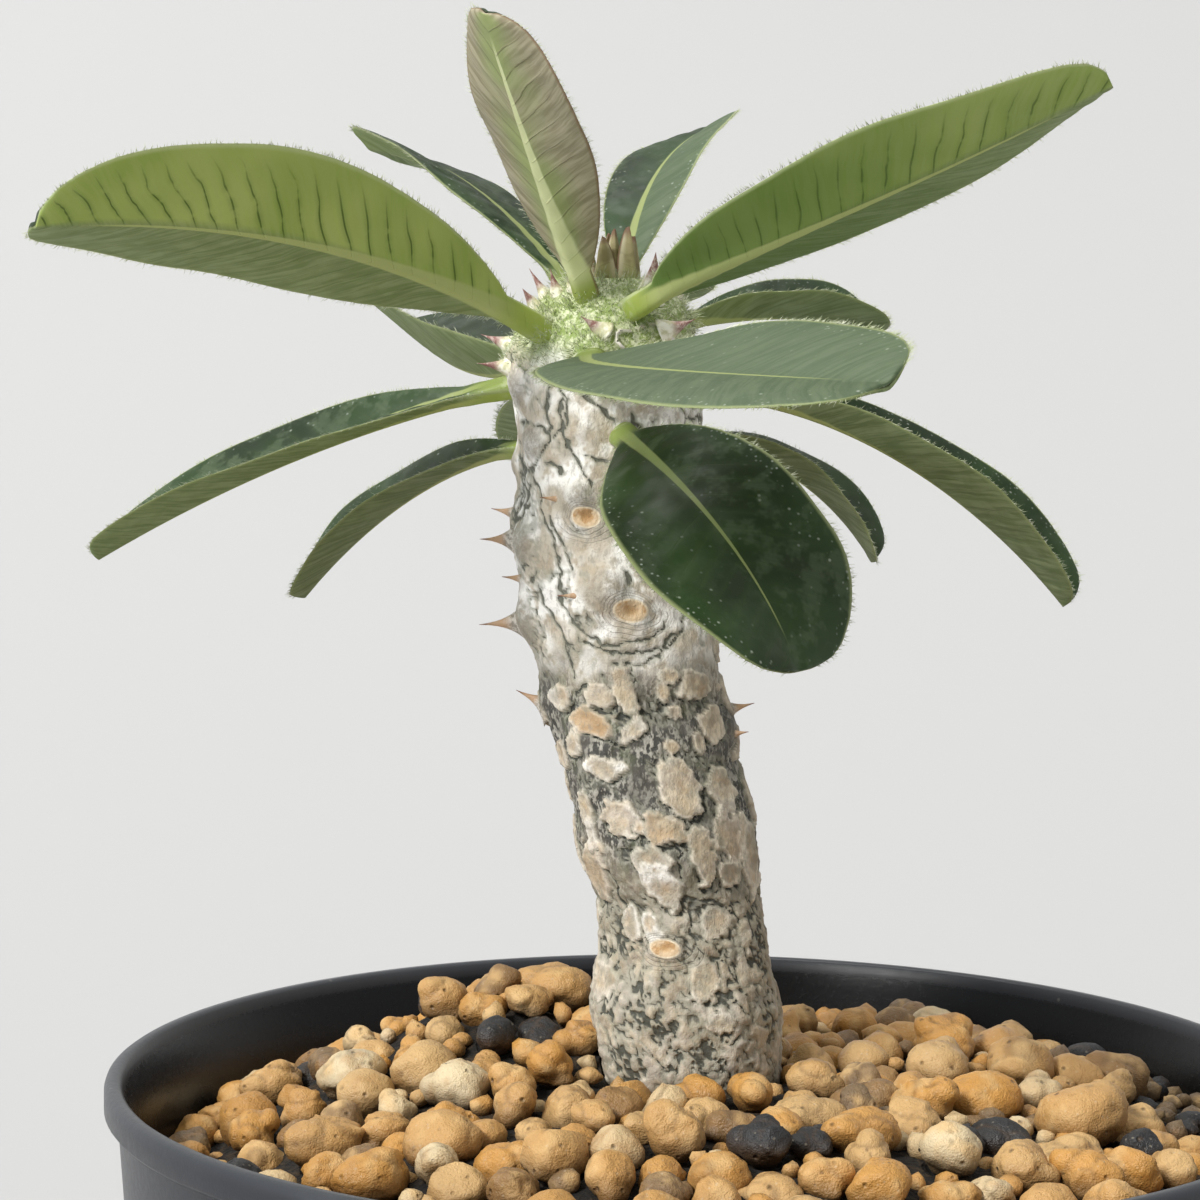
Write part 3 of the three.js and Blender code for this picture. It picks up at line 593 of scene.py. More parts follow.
def make_leaf_finish(grit, specks):
    """Dark glossy face, paler silky underside, pale midrib and dark side veins."""
    material, tree, sockets = new_material("leathery_leaf")
    across, along, edge = trait(tree, "blade")
    upper, share, young = trait(tree, "face")
    lit, flush, bloom_and_reflection = trait(tree, "tone")
    shade, _, _ = trait(tree, "cast")
    place = own_place(tree)
    grain = grouped(tree, grit, Size=1400.0)
    patch = noisy(tree, place, 150.0, 1.0)
    mottle = noisy(tree, place, 620.0, 2.0, 0.6)
    off = calc(tree, "ABSOLUTE", across)
    left = calc(tree, "SUBTRACT", 1.0, share)
    # The midrib: broad at the stalk, fine towards the tip, narrower on the upper face.
    rib_width = times(
        tree, calc(tree, "MULTIPLY_ADD", times(tree, left, left), 1.15, 0.12),
        step(tree, upper, 0.0, 1.0, 1.0, 0.55), calc(tree, "MULTIPLY_ADD", flush, 0.4, 1.0))
    rib = step(tree, calc(tree, "DIVIDE", off, rib_width), 0.72, 1.05, 1.0, 0.0)
    petiole = step(tree, share, 0.09, 0.17, 1.0, 0.0)
    rib = calc(tree, "MAXIMUM", times(tree, rib, step(tree, share, 0.84, 0.95, 1.0, 0.0)), petiole)
    # Side veins slant from the midrib towards the tip, and the silk between them follows.
    wander = times(tree, noisy(tree, place, 190.0, 1.0), 1.3)
    run = calc(tree, "ADD", calc(tree, "MULTIPLY_ADD", off, -0.66, along), wander)
    phase = calc(tree, "FRACT", calc(tree, "DIVIDE", run, 1.7))
    apart = calc(tree, "ABSOLUTE", calc(tree, "SUBTRACT", phase, 0.5))
    fade = times(
        tree, step(tree, edge, 0.40, 0.92, 1.0, 0.0), step(tree, mottle, 0.34, 0.50, 0.3, 1.0))
    vein = times(tree, step(tree, apart, 0.012, 0.060, 1.0, 0.0), fade)
    halo = times(tree, step(tree, apart, 0.0, 0.30, 1.0, 0.0), fade)
    slant = put(tree, "CombineXYZ", {"X": times(tree, run, 2.2), "Y": times(tree, across, 0.22)})
    silk = step(tree, noisy(tree, slant.outputs[0], 1.0, 2.0, 0.65), 0.36, 0.62)
    # Upper face: deep green, dappled or wholly veiled with grey bloom; on one half of some leaves
    # the bloom is a painted reflection.
    dapple = calc(tree, "MAXIMUM", step(tree, noisy(tree, place, 420.0, 3.0, 0.7), 0.46, 0.60),
                  step(tree, bloom_and_reflection, 0.55, 0.95))
    face = layered(
        tree,
        mixed(tree, step(tree, patch, 0.35, 0.7), (0.009, 0.023, 0.008), (0.024, 0.062, 0.016)),
        (times(tree, halo, 0.35), (0.04, 0.075, 0.02)),
        (times(tree, bloom_and_reflection, dapple, 0.9),
         mixed(tree, silk, (0.115, 0.165, 0.095), (0.165, 0.215, 0.125))),
    )
    # Underside: grey-green silk, or yellow-green where light falls through the blade.
    glow = layered(
        tree, mixed(tree, step(tree, patch, 0.3, 0.7), (0.44, 0.565, 0.13), (0.61, 0.71, 0.21)),
        (times(tree, silk, 0.25), (0.58, 0.66, 0.25)),
    )
    fresh = times(tree, step(tree, edge, 0.15, 0.80, 1.0, 0.0), step(tree, patch, 0.30, 0.55))
    purple = layered(
        tree, mixed(tree, silk, (0.38, 0.32, 0.21), (0.60, 0.53, 0.37)),
        (times(tree, fresh, 0.9), (0.42, 0.49, 0.19)),
        (times(tree, vein, 0.45), (0.20, 0.15, 0.10)),
    )
    under = layered(
        tree, mixed(tree, silk, (0.215, 0.270, 0.125), (0.37, 0.43, 0.235)),
        (step(tree, mottle, 0.4, 0.65, 0.0, 0.4), (0.20, 0.245, 0.12)),
        (lit, glow),
        (shade, (0.10, 0.195, 0.035)),
        (times(tree, halo, times(tree, lit, 0.35)), (0.15, 0.245, 0.04)),
        (times(tree, vein, times(tree, lit, 0.85)), (0.085, 0.145, 0.025)),
        (flush, purple),
    )
    pale = layered(
        tree, mixed(tree, flush, (0.64, 0.68, 0.28), (0.95, 0.97, 0.55)),
        (petiole, (0.48, 0.57, 0.13)),
        (times(tree, upper, 0.45), (0.17, 0.25, 0.07)),
    )
    # White dust on the upper face, thicker towards the margins, and down on the stalk.
    dots = grouped(tree, specks, Size=1500.0, Amount=0.26, Width=0.22)
    fluff = grouped(tree, specks, Size=2900.0, Amount=0.40, Width=0.34)
    dust = calc(tree, "MAXIMUM", times(tree, dots, step(tree, edge, 0.2, 0.9, 0.30, 1.0)),
                times(tree, fluff, step(tree, edge, 0.70, 0.97)))
    down = times(
        tree, step(tree, share, 0.045, 0.085, 1.0, 0.0), step(tree, grain, 0.47, 0.56, 0.0, 0.8))
    # The margin is paler where the painted glow of light through the blade is.
    margin = layered(
        tree, mixed(tree, lit, (0.42, 0.47, 0.22), (0.70, 0.75, 0.42)), (flush, (0.34, 0.20, 0.13)))
    # Bud scales: olive with paler folded edges and brown tips.
    bract = layered(
        tree, mixed(tree, step(tree, share, 0.05, 0.60), (0.42, 0.46, 0.15), (0.50, 0.43, 0.22)),
        (step(tree, edge, 0.55, 0.90), (0.78, 0.70, 0.46)),
        (step(tree, edge, 0.90, 0.98), (0.30, 0.17, 0.11)),
        (step(tree, share, 0.78, 0.98), (0.27, 0.14, 0.09)),
        (step(tree, mottle, 0.48, 0.60, 0.0, 0.6), (0.24, 0.18, 0.085)),
    )
    colour = layered(
        tree, mixed(tree, upper, under, face),
        (times(tree, rib, 0.94), pale),
        (times(tree, dust, upper), (0.60, 0.65, 0.54)),
        (times(tree, step(tree, edge, 0.94, 0.99), 0.8), margin),
        (down, (0.60, 0.66, 0.36)),
        (young, bract),
    )
    glossy = calc(tree, "MULTIPLY_ADD", bloom_and_reflection, 0.2, calc(tree, "MULTIPLY_ADD", upper, -0.26, 0.60))
    glossy = calc(tree, "ADD", glossy, step(tree, mottle, 0.3, 0.7, -0.04, 0.12))
    ribbing = times(tree, vein, calc(tree, "MULTIPLY_ADD", upper, -0.48, 0.6))
    ribbing = calc(tree, "MULTIPLY_ADD", grain, 0.30, ribbing)
    coat(tree, sockets, colour, glossy, ribbing, 0.45, 0.00014)
    # Light falls through the thin blade.
    behind = put(tree, "BsdfTranslucent", {"Color": mixed(tree, 0.5, colour, (0.36, 0.50, 0.09))})
    solid = tree.nodes["Principled BSDF"].outputs[0]
    through = put(tree, "MixShader", {0: 0.36, 1: solid, 2: behind.outputs[0]})
    feed(tree, through.outputs[0], tree.nodes["Material Output"].inputs["Surface"])
    return material


def make_hair_finish(grit):
    material, tree, sockets = new_material("pale_hair")
    grain = grouped(tree, grit, Size=900.0)
    colour = mixed(tree, step(tree, grain, 0.35, 0.65), (0.36, 0.42, 0.19), (0.70, 0.72, 0.54))
    coat(tree, sockets, colour, step(tree, grain, 0.3, 0.7, 0.5, 0.7), grain, 0.3, 0.00005)
    return material


def make_pebble_finish(grit, specks):
    """Porous gravel: pale, tan, ochre, brown or dark by tone, with pits, and painted shade in
    creases, pits and on each grain's lower side.
    """
    material, tree, sockets = new_material("porous_gravel")
    tone, depth, chance = trait(tree, "grain")
    grain = grouped(tree, grit, Size=1700.0)
    patch = noisy(tree, own_place(tree), 330.0, 2.0, 0.6)
    pits = grouped(tree, specks, Size=1150.0, Amount=0.20, Width=0.26)
    glint_specks = grouped(tree, specks, Size=2300.0, Amount=0.30, Width=0.30)
    ramp = put(tree, "ValToRGB", {"Fac": tone})
    stops = ramp.color_ramp.elements
    stops.remove(stops[1])
    stops[0].color = (0.68, 0.55, 0.34, 1)
    for position, colour in (
            (0.12, (0.56, 0.37, 0.165, 1)), (0.40, (0.52, 0.285, 0.090, 1)),
            (0.66, (0.55, 0.275, 0.060, 1)), (0.78, (0.25, 0.145, 0.058, 1)),
            (0.88, (0.16, 0.110, 0.060, 1)), (0.93, (0.020, 0.020, 0.021, 1))):
        stops.new(position).color = colour
    stony = calc(tree, "SUBTRACT", 1.0, step(tree, tone, 0.90, 0.94))
    colour = layered(
        tree, ramp.outputs["Color"],
        (times(tree, step(tree, patch, 0.48, 0.70, 0.0, 0.75), stony),
         mixed(tree, chance, (0.62, 0.40, 0.17), (0.72, 0.48, 0.22))),
        (times(tree, step(tree, patch, 0.28, 0.45, 0.55, 0.0), stony), (0.42, 0.22, 0.07)),
        # Pale specks: painted glints.
        (times(tree, glint_specks, 0.35), (0.62, 0.55, 0.42)),
        # Painted shade in the small pits.
        (times(tree, pits, 0.8), (0.075, 0.045, 0.022)),
        # Painted shade in creases, pits and on the lower side of each grain.
        (times(tree, depth, 0.85), (0.085, 0.045, 0.018)),
    )
    relief = calc(tree, "SUBTRACT", calc(tree, "ADD", grain, patch), times(tree, pits, 0.9))
    coat(tree, sockets, colour, step(tree, patch, 0.3, 0.7, 0.42, 0.72), relief, 0.75, 0.00036)
    return material


def make_bed_finish(grit):
    material, tree, sockets = new_material("shadow_black_gravel_bed")
    grain = grouped(tree, grit, Size=500.0)
    # Near black: painted shade for the gaps between the grains.
    colour = mixed(tree, step(tree, grain, 0.45, 0.7), (0.006, 0.005, 0.004), (0.05, 0.032, 0.016))
    coat(tree, sockets, colour, 0.95, grain, 1.0, 0.001)
    return material


# ---- Pieces ----


def add_piece(name, mesh, material, slot, *nodes):
    """A finished bmesh, in millimetres, becomes a named piece on the one body."""
    bmesh.ops.recalc_face_normals(mesh, faces=mesh.faces)
    bmesh.ops.scale(mesh, vec=(MM, MM, MM), verts=mesh.verts)
    data = bpy.data.meshes.new(name)
    mesh.to_mesh(data)
    mesh.free()
    data.polygons.foreach_set("use_smooth", [True] * len(data.polygons))
    data.materials.append(material)
    piece = bpy.data.objects.new(name, data)
    bpy.context.collection.objects.link(piece)
    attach(piece, "root")
    if nodes:
        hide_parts(*nodes)
    return piece


def add_layers(mesh, *names):
    """New attributes of three values for every vertex."""
    return [mesh.verts.layers.float_vector.new(name) for name in names]


def pour(mesh, part):
    """Adds a finished small bmesh to a larger one."""
    carried = bpy.data.meshes.new("part")
    part.to_mesh(carried)
    part.free()
    mesh.from_mesh(carried)
    bpy.data.meshes.remove(carried)


def tube(sides, rows):
    """A closed unit tube from -0.5 to 0.5 along Z, cut into rows."""
    mesh = bmesh.new()
    bmesh.ops.create_cone(mesh, cap_ends=True, segments=sides, radius1=1, radius2=1, depth=1)
    upright = [edge for edge in mesh.edges if abs(edge.verts[0].co.z - edge.verts[1].co.z) > 0.5]
    bmesh.ops.subdivide_edges(mesh, edges=upright, cuts=rows - 1)
    return mesh


def heading_for(turn, lift=0.0):
    """The direction at one angle round the axis and another above the level."""
    return Vector((
        math.cos(lift) * math.cos(turn), math.cos(lift) * math.sin(turn), math.sin(lift)))


def level_across(turn):
    return Vector((-math.sin(turn), math.cos(turn), 0))


def any_way(draw):
    """A direction drawn at random."""
    height, turn = draw.uniform(-1, 1), draw.uniform(-math.pi, math.pi)
    level = math.sqrt(1 - height * height)
    return Vector((level * math.cos(turn), level * math.sin(turn), height))


# ---- The stem's outline ----


def table_at(height, column):
    """One column of the caudex table at any height."""
    row = 0
    while row < len(CAUDEX) - 2 and CAUDEX[row + 1][0] < height:
        row += 1
    low, high = CAUDEX[row], CAUDEX[row + 1]
    share = min(max((height - low[0]) / (high[0] - low[0]), 0.0), 1.0)
    return blend(low[column], high[column], share)


def turned_away(angle, azimuth):
    """Smallest angle between two directions round the axis, in radians."""
    apart = angle - math.radians(azimuth)
    return abs(math.atan2(math.sin(apart), math.cos(apart)))


def away_from(spot, height, angle, radius, wide=1.0, tall=1.0):
    """Distance over the bark from a spot's height and azimuth, in widths and heights."""
    return math.hypot((height - spot[0]) / tall, turned_away(angle, spot[1]) * radius / wide)


def caudex_radius(height, angle):
    radius = table_at(height, 2)
    radius *= (
        1 + 0.02 * math.sin(3 * angle + height * 0.2) + 0.015 * math.sin(5 * angle - height * 0.3))
    for spine in SPINES:
        away = away_from(spine, height, angle, radius)
        radius += spine[2] * math.exp(-away * away / 5)
    return radius


def on_stem(height, angle, reach, drop=0.0):
    """A point at a distance from the stem's bent axis, lowered by a drop."""
    return Vector((
        table_at(height, 1) + reach * math.cos(angle), reach * math.sin(angle), height - drop))


# ---- Bark ----


def spread_plates():
    """The listed plates, and more of them scattered over the bark's far side."""
    draw = random.Random(12)
    plates = list(PLATES)
    sizes = ((0.5, 0.9), (0.8, 1.2), (1.2, 1.6), (1.6, 1.1), (1.3, 2.3), (1.9, 1.3))
    for _ in range(900):
        height, azimuth = draw.uniform(90, 112), draw.uniform(-10, 195)
        wide, tall = draw.choice(sizes)
        if all(
                away_from(row, height, math.radians(azimuth), MEAN_STEM_RADIUS,
                          wide + row[2] + PLATE_GAP, tall + row[3] + PLATE_GAP) > 1
                for row in plates):
            lean, white = draw.uniform(-30, 30), draw.uniform(0.3, 0.9)
            plates.append((height, azimuth, wide, tall, lean, white, draw.uniform(0, 0.4)))
    return plates


def crack_segments():
    """Every crack line cut into straight pieces: middle height, and both ends on the bark."""
    pieces = []
    for line in CRACKS:
        ends = [
            Vector((math.radians(azimuth) * MEAN_STEM_RADIUS, height)) for height, azimuth in line]
        for first, second in zip(ends, ends[1:]):
            pieces.append(((first.y + second.y) / 2, first, second))
    return pieces


def sort_by_height(rows, reach):
    """Rows grouped into bands 1 mm high, each row in every band it can touch."""
    bands = {}
    for row in rows:
        for band in range(int(row[0] - reach), int(row[0] + reach) + 1):
            bands.setdefault(band, []).append(row)
    return bands


def plate_place(row, angle, height, radius, ragged):
    """How far out on a plate a point lies, 1 at its ragged edge, and how low on it."""
    _, azimuth, wide, tall, lean, _, _ = row
    apart = angle - math.radians(azimuth)
    across = math.atan2(math.sin(apart), math.cos(apart)) * radius
    rise = height - row[0]
    turn = math.radians(lean)
    aslant = across * math.cos(turn) + rise * math.sin(turn)
    upright = rise * math.cos(turn) - across * math.sin(turn)
    out = (abs(aslant / wide) ** 2.2 + abs(upright / tall) ** 2.2) ** 0.45
    return out + ragged * min(out, 1), smooth(-0.5, 0.8, -upright / tall)


def crack_distance(pieces, angle, height, wander):
    """Distance in millimetres to the nearest crack line."""
    here = Vector((angle * MEAN_STEM_RADIUS + wander.x * 0.35, height + wander.y * 0.35))
    nearest = 9.0
    for _, first, second in pieces:
        along = second - first
        share = min(max((here - first).dot(along) / along.length_squared, 0.0), 1.0)
        nearest = min(nearest, (here - first - along * share).length)
    return nearest


def cell_edge(place, wide, tall, bend):
    """Distance in millimetres to the border of a bark cell."""
    near, _ = noise.voronoi(Vector((place.x / wide, place.y / wide, place.z / tall)) + bend)
    return (near[1] - near[0]) * wide * 0.5


def bark_relief(angle, height, radius, plates, cracks):
    """Offset in millimetres, then the shares of plate, crack (with painted shadow under the
    plates), white, rust, moss and plate rim.
    """
    around = Vector((radius * math.cos(angle), radius * math.sin(angle), height))
    warp = noise.noise_vector(around * 0.42)
    fine = noise.noise_vector(around * 1.7)
    bend = warp * 0.5 + fine * 0.2
    upper = smooth(107.5, 113.0, height + 2.4 * warp.x)
    lower = 1 - smooth(90.5, 98.5, height + 3.0 * warp.y)
    middle = max(1 - upper - lower, 0.0)
    rough = noise.fractal(Vector((around.x, around.y, around.z * 0.6)) * 2.4, 0.8, 2.1, 3)
    ragged = 0.50 * noise.noise(around * 0.85) + 0.25 * noise.noise(around * 1.9) + 0.2 * warp.z
    crack = max(1 - crack_distance(cracks, angle, height, fine) / 0.36, 0.0)
    offset = 0.22 * noise.noise(around * 0.45) + 0.10 * noise.noise(around * 1.1)
    offset += rough * (0.03 + 0.07 * middle + 0.03 * lower)
    offset -= middle * 0.10
    if upper > 0:
        # Long thin cracks, fewer of them on the front.
        plain = 1 - smooth(0.4, 0.8, math.cos(angle + 1.6)) * 0.8
        crack = max(crack, (1 - cell_edge(around, 3.6, 9.0, bend * 1.4) / 0.36) * plain * upper)
    if upper > 0 or middle > 0:
        small = 1 - cell_edge(around, 1.9, 4.2, bend * 1.2) / 0.28
        crack = max(crack, small * smooth(-0.1, 0.3, warp.y - 0.2 * upper) * 0.85)
    if lower > 0:
        edge = cell_edge(around, 1.9, 2.9, bend * 1.7)
        crack = max(crack, lower * (1 - edge / 0.32) * blend(0.80, 1.0, smooth(-0.2, 0.25, warp.z)))
        offset += lower * 0.14 * smooth(0.0, 0.5, edge)
    plate, white, rust, rim = max(upper, lower * 0.85), 0.9 * upper + 0.3 * lower, 0.0, 0.0
    for row in plates:
        place, low = plate_place(row, angle, height, radius, ragged)
        if place > 1.35:
            continue
        inside = 1 - smooth(0.86, 1.0, place)
        raised = 0.35 if row[0] > FELT_HEIGHT else 0.06
        offset = blend(offset, raised + 0.05 * rough + 0.10 * smooth(0.3, 0.95, place), inside)
        # Painted shadow: the groove round each plate is darker on its lower side, as shade under
        # the raised plate.
        halo = max(1 - abs(place - 1.07) / 0.16, 0.0) * blend(0.35, 1.0, low)
        offset -= 0.10 * halo
        crack = max(crack * (1 - 0.45 * inside), halo)
        plate = max(plate, inside)
        white = blend(white, row[5] ** 1.5 * blend(0.55, 1.0, smooth(0.3, 0.85, place)), inside)
        rust = max(rust, row[6] * inside * smooth(-0.5, 0.3, warp.x + 0.3))
        rust = max(rust, 0.4 * (1 - smooth(0.1, 0.75, place)) * smooth(-0.2, 0.4, fine.x))
        rim = max(rim, math.exp(-((place - 0.86) / 0.10) ** 2) * blend(0.5, 1.0, low))
    crack = max(crack, 0.0)
    offset -= blend(0.14, 0.22, middle) * smooth(0.45, 1.0, crack)
    moss = (1 - plate * 0.8) * smooth(0.05, 0.3, noise.noise(around * 0.33 + Vector((7, 3, 1))))
    return offset, plate, crack, white, rust, moss, rim


def bark_marks(angle, height, radius, knobs, scars):
    """How far a point lies within a tubercle, how near to a leaf scar, and the relief of both."""
    knob = scar = relief = 0.0
    for dome in DOMES:
        _, _, wide, tall, rise = dome
        if abs(height - dome[0]) < tall * 1.4:
            away = away_from(dome, height, angle, radius, wide, tall)
            relief += rise * (1 - smooth(0.0, 1.25, away))
            knob = max(knob, 0.75 * (1 - smooth(0.55, 1.0, away)))
    for spine in knobs:
        if spine[0] < FELT_HEIGHT and spine[2] > 0.4:
            away = away_from(spine, height, angle, radius)
            knob = max(knob, 0.6 * (1 - smooth(0.4, 1.5, away)))
    for row in scars:
        away = away_from(row, height, angle, radius, row[2], row[3])
        inside = 1 - smooth(0.85, 1.05, away)
        ring = 0.14 * math.exp(-((away - 1.15) / 0.2) ** 2)
        relief += inside * (0.2 - 0.18 * (1 - away) ** 2) + ring
        beyond = max(away - 1.05, 0) * (1.0 if height < row[0] else 2.2)
        scar = max(scar, 1 - (min(away, 1.05) + beyond) / 4)
    return knob, scar, relief


def make_caudex(material):
    """The swollen stem: a fine tube drawn to the solid's outline, with its bark cut in."""
    sides, rows, buried = 240, 400, 24
    mesh = tube(sides, rows)
    bark, marks, stain = add_layers(mesh, "bark", "marks", "stain")
    plates = sort_by_height(spread_plates(), 3.6)
    cracks = sort_by_height(crack_segments(), 1.8)
    knobs = sort_by_height(SPINES, 2)
    scars = sort_by_height(LEAF_SCARS, 4)
    for vertex in mesh.verts:
        row = round((vertex.co.z + 0.5) * rows)
        angle = math.atan2(vertex.co.y, vertex.co.x)
        if row < buried:
            height = CAUDEX_FOOT + (BARK_FOOT - CAUDEX_FOOT) * row / buried
        else:
            height = BARK_FOOT + (CAUDEX_TOP - BARK_FOOT) * (row - buried) / (rows - buried)
        radius, band = caudex_radius(height, angle), int(height)
        offset, plate, crack, white, rust, moss, rim = bark_relief(
            angle, height, radius, plates.get(band, ()), cracks.get(band, ()))
        knob, scar, relief = bark_marks(
            angle, height, radius, knobs.get(band, ()), scars.get(band, ()))
        crown = smooth(131.4, 134.6, height + 1.2 * math.sin(3 * angle) + 0.8 * math.sin(7 * angle))
        if 132 < height < 137 and white > 0.97 and plate > 0.97:
            crown = 0.0
        calm = max(crown, knob * 0.6, smooth(0.70, 0.76, scar))
        offset = blend(offset, 0.05 * noise.noise(Vector((angle * 5, height, 0))), calm) + relief
        vertex[bark] = (plate, crack * (1 - calm), white)
        vertex[marks] = (scar, knob, crown)
        vertex[stain] = (rust, moss, rim)
        reach = math.hypot(vertex.co.x, vertex.co.y) * max(radius + offset, 0.2)
        vertex.co = on_stem(height, angle, reach)
    add_piece("caudex_bark", mesh, material, "bark", "caudex")


def make_spines(material):
    """Thorns with a broad foot, thin and slightly hooked; those of the crown are woolly below."""
    mesh = bmesh.new()
    add_layers(mesh, "spine")
    thorns = [(height, azimuth, *rest) for height, azimuth, _, *rest in SPINES]
    for number, (height, azimuth, length, tilt, foot) in enumerate(thorns + list(CROWN_SCALES)):
        thorn = tube(14, 14)
        angle = math.radians(azimuth)
        heading = angle + math.radians(LEANING_SPINES.get(number, 0))
        outward = heading_for(heading, math.radians(tilt))
        level = level_across(heading)
        rise = outward.cross(level)
        felt = 1.0 if height > FELT_HEIGHT else 0.0
        sunk = 0.5 if felt else 0.95
        root = on_stem(height, angle, caudex_radius(height, angle) - sunk)
        hook = math.sin(number * 2.4) * 0.35
        scale = number >= len(SPINES)
        [layer] = add_layers(thorn, "spine")
        for vertex in thorn.verts:
            share = vertex.co.z + 0.5
            body = foot * (1 - share) ** (1.2 if scale else 2.2 - 0.5 * felt)
            if not felt:
                broad = 0.0 if number in LEANING_SPINES else 1.5
                body = foot * (broad * (1 - share) ** 3.4 + 0.4 * (1 - share) ** 1.4)
            slim = body + 0.14 * (1 - share) + 0.015
            slim *= 1 + felt * 0.12 * noise.noise(Vector((share * 3, vertex.co.x * 2, number)))
            wide, tall = vertex.co.x * slim, vertex.co.y * slim * (1.25 - 0.45 * felt)
            bend = hook * share * share * length * 0.5
            vertex[layer] = (share, 1.0 if scale else 0.75 * felt, 0)
            middle = root + outward * (share * (length + sunk))
            vertex.co = middle + level * (wide + bend) - rise * tall
        pour(mesh, thorn)
    add_piece("spines", mesh, material, "bark")


# ---- Leaves and hairs ----


def half_width(share, width):
    """Half of a leaf's width: the stalk, then the blade, widest past its middle."""
    petiole = PETIOLE_RADIUS * (1 - share) ** 0.3
    along = (share - PETIOLE_SHARE) / (1 - PETIOLE_SHARE)
    if along <= 0:
        return petiole
    swell = along ** 0.85 * (1 - along) ** 0.34
    return max(width / 2 * swell / 0.599, petiole if share < 0.5 else 0.12)


def blade_path(start, azimuth, swing, rise, fall, power, length, roll, tip_roll):
    """Points with the across, upper and along directions of a leaf's midrib."""
    steps = 320
    frames = []
    point = start.copy()
    for i in range(steps + 1):
        share = i / steps
        heading = math.radians(azimuth + swing * share)
        along = heading_for(heading, math.radians(rise + (fall - rise) * share ** power))
        turn = math.radians(blend(roll, tip_roll, share))
        across = Matrix.Rotation(turn, 3, along) @ level_across(heading)
        frames.append((point.copy(), across, along.cross(across), along))
        point += along * (length / steps)
    return frames


def frame_at(frames, share):
    return frames[min(round(share * (len(frames) - 1)), len(frames) - 1)]


def shape_blade(frames, length, width, fold, seed, sides, rows, tone, young):
    """A closed leaf: lens section, folded along the rib, with veins pressed into it."""
    mesh = tube(sides, rows)
    blade, face, tint, cast = add_layers(mesh, "blade", "face", "tone", "cast")
    lean = math.sin(math.radians(fold))
    flat = math.cos(math.radians(fold))
    for vertex in mesh.verts:
        share = 1 - (0.5 - vertex.co.z) ** 1.5
        point, across, upper, _ = frame_at(frames, share)
        side, lift = vertex.co.x, vertex.co.y
        if young:
            half = width * 0.5 * (1 - share ** 2.4) ** 0.8 + 0.05
        else:
            half = half_width(share, width)
        half *= 1 + 0.02 * noise.noise(Vector((share * 7, side * 0.4, seed)))
        thick = blend(PETIOLE_RADIUS * 0.8, BLADE_HALF_THICKNESS, min(share * 5, 1))
        open_share = min(share * 6, 1)
        out = abs(side)
        height = lean * half * (math.sqrt(side * side + 0.01) - 0.1) * open_share
        if lift > 0:
            groove = 0.16 * math.exp(-(side * half / 0.7) ** 2) * open_share
            height += lift * thick
            height -= groove
        else:
            rib = MIDRIB_DEPTH * (1 - share) * math.exp(-(side * half / 0.75) ** 2)
            height += lift * (thick + rib)
        wave = noise.noise(Vector((share * 4.2, side * 0.8, seed * 1.7)))
        height += 0.55 * wave * out ** 2 * open_share * half / 6
        run = share * length - 0.42 * out * half
        pleat = math.cos(2 * math.pi * run / 2.3) * out * (1 - out) * 4
        height += 0.05 * pleat * open_share * (0.3 if young else 1)
        vertex[blade] = (side * half, share * length, out)
        vertex[face] = (smooth(-0.05, 0.05, lift), share, young)
        # The half of the blade that faces up gets the full painted glow of light through the leaf,
        # the other half little.
        sunny = 1.0 if across.z * side > 0 else 0.15
        # The grey bloom, partly a painted reflection, is laid on one side of the blade only.
        bloom_and_reflection_here = tone[2] if tone[4] * side >= 0 else tone[2] * 0.3
        vertex[tint] = (tone[0] * sunny, tone[1], bloom_and_reflection_here)
        vertex[cast] = (tone[3] * (1 - share) ** 0.8, 0, 0)
        vertex.co = point + across * (side * half * flat) + upper * height
    return mesh


def leaf_root(height, azimuth, rise):
    angle = math.radians(azimuth)
    reach = caudex_radius(height, angle) - LEAF_ROOT_DEPTH
    return on_stem(height, angle, reach, LEAF_ROOT_DEPTH * math.sin(math.radians(rise)))


def make_leaf(row, seed, material, hair):
    name, height, azimuth, swing, rise, fall, power, length, width, roll, tip_roll, fold = row
    length += LEAF_ROOT_DEPTH
    root = leaf_root(height, azimuth, rise)
    frames = blade_path(root, azimuth, swing, rise, fall, power, length, roll, tip_roll)
    tone = LEAF_TONES.get(name, PLAIN_LEAF)
    mesh = shape_blade(frames, length, width, fold, seed, 52, 96, tone, 0.0)
    add_piece(name.replace("leaf", "blade"), mesh, material, "leaf", name)
    make_fringe(name.replace("leaf", "fringe"), frames, length, width, fold, seed, hair)


def add_strands(name, strands, thickness, material, slot):
    """Hairs as three-sided spikes, from rows of root, direction and length."""
    mesh = bmesh.new()
    for first in range(0, len(strands), 60):
        tuft = bmesh.new()
        for root, along, length in strands[first:first + 60]:
            turn = along.to_track_quat("Z", "Y").to_matrix().to_4x4()
            turn.translation = root + along * (length * 0.5)
            bmesh.ops.create_cone(
                tuft, cap_ends=True, segments=3, radius1=thickness, radius2=0.004, depth=length,
                matrix=turn)
        pour(mesh, tuft)
    add_piece(name, mesh, material, slot)


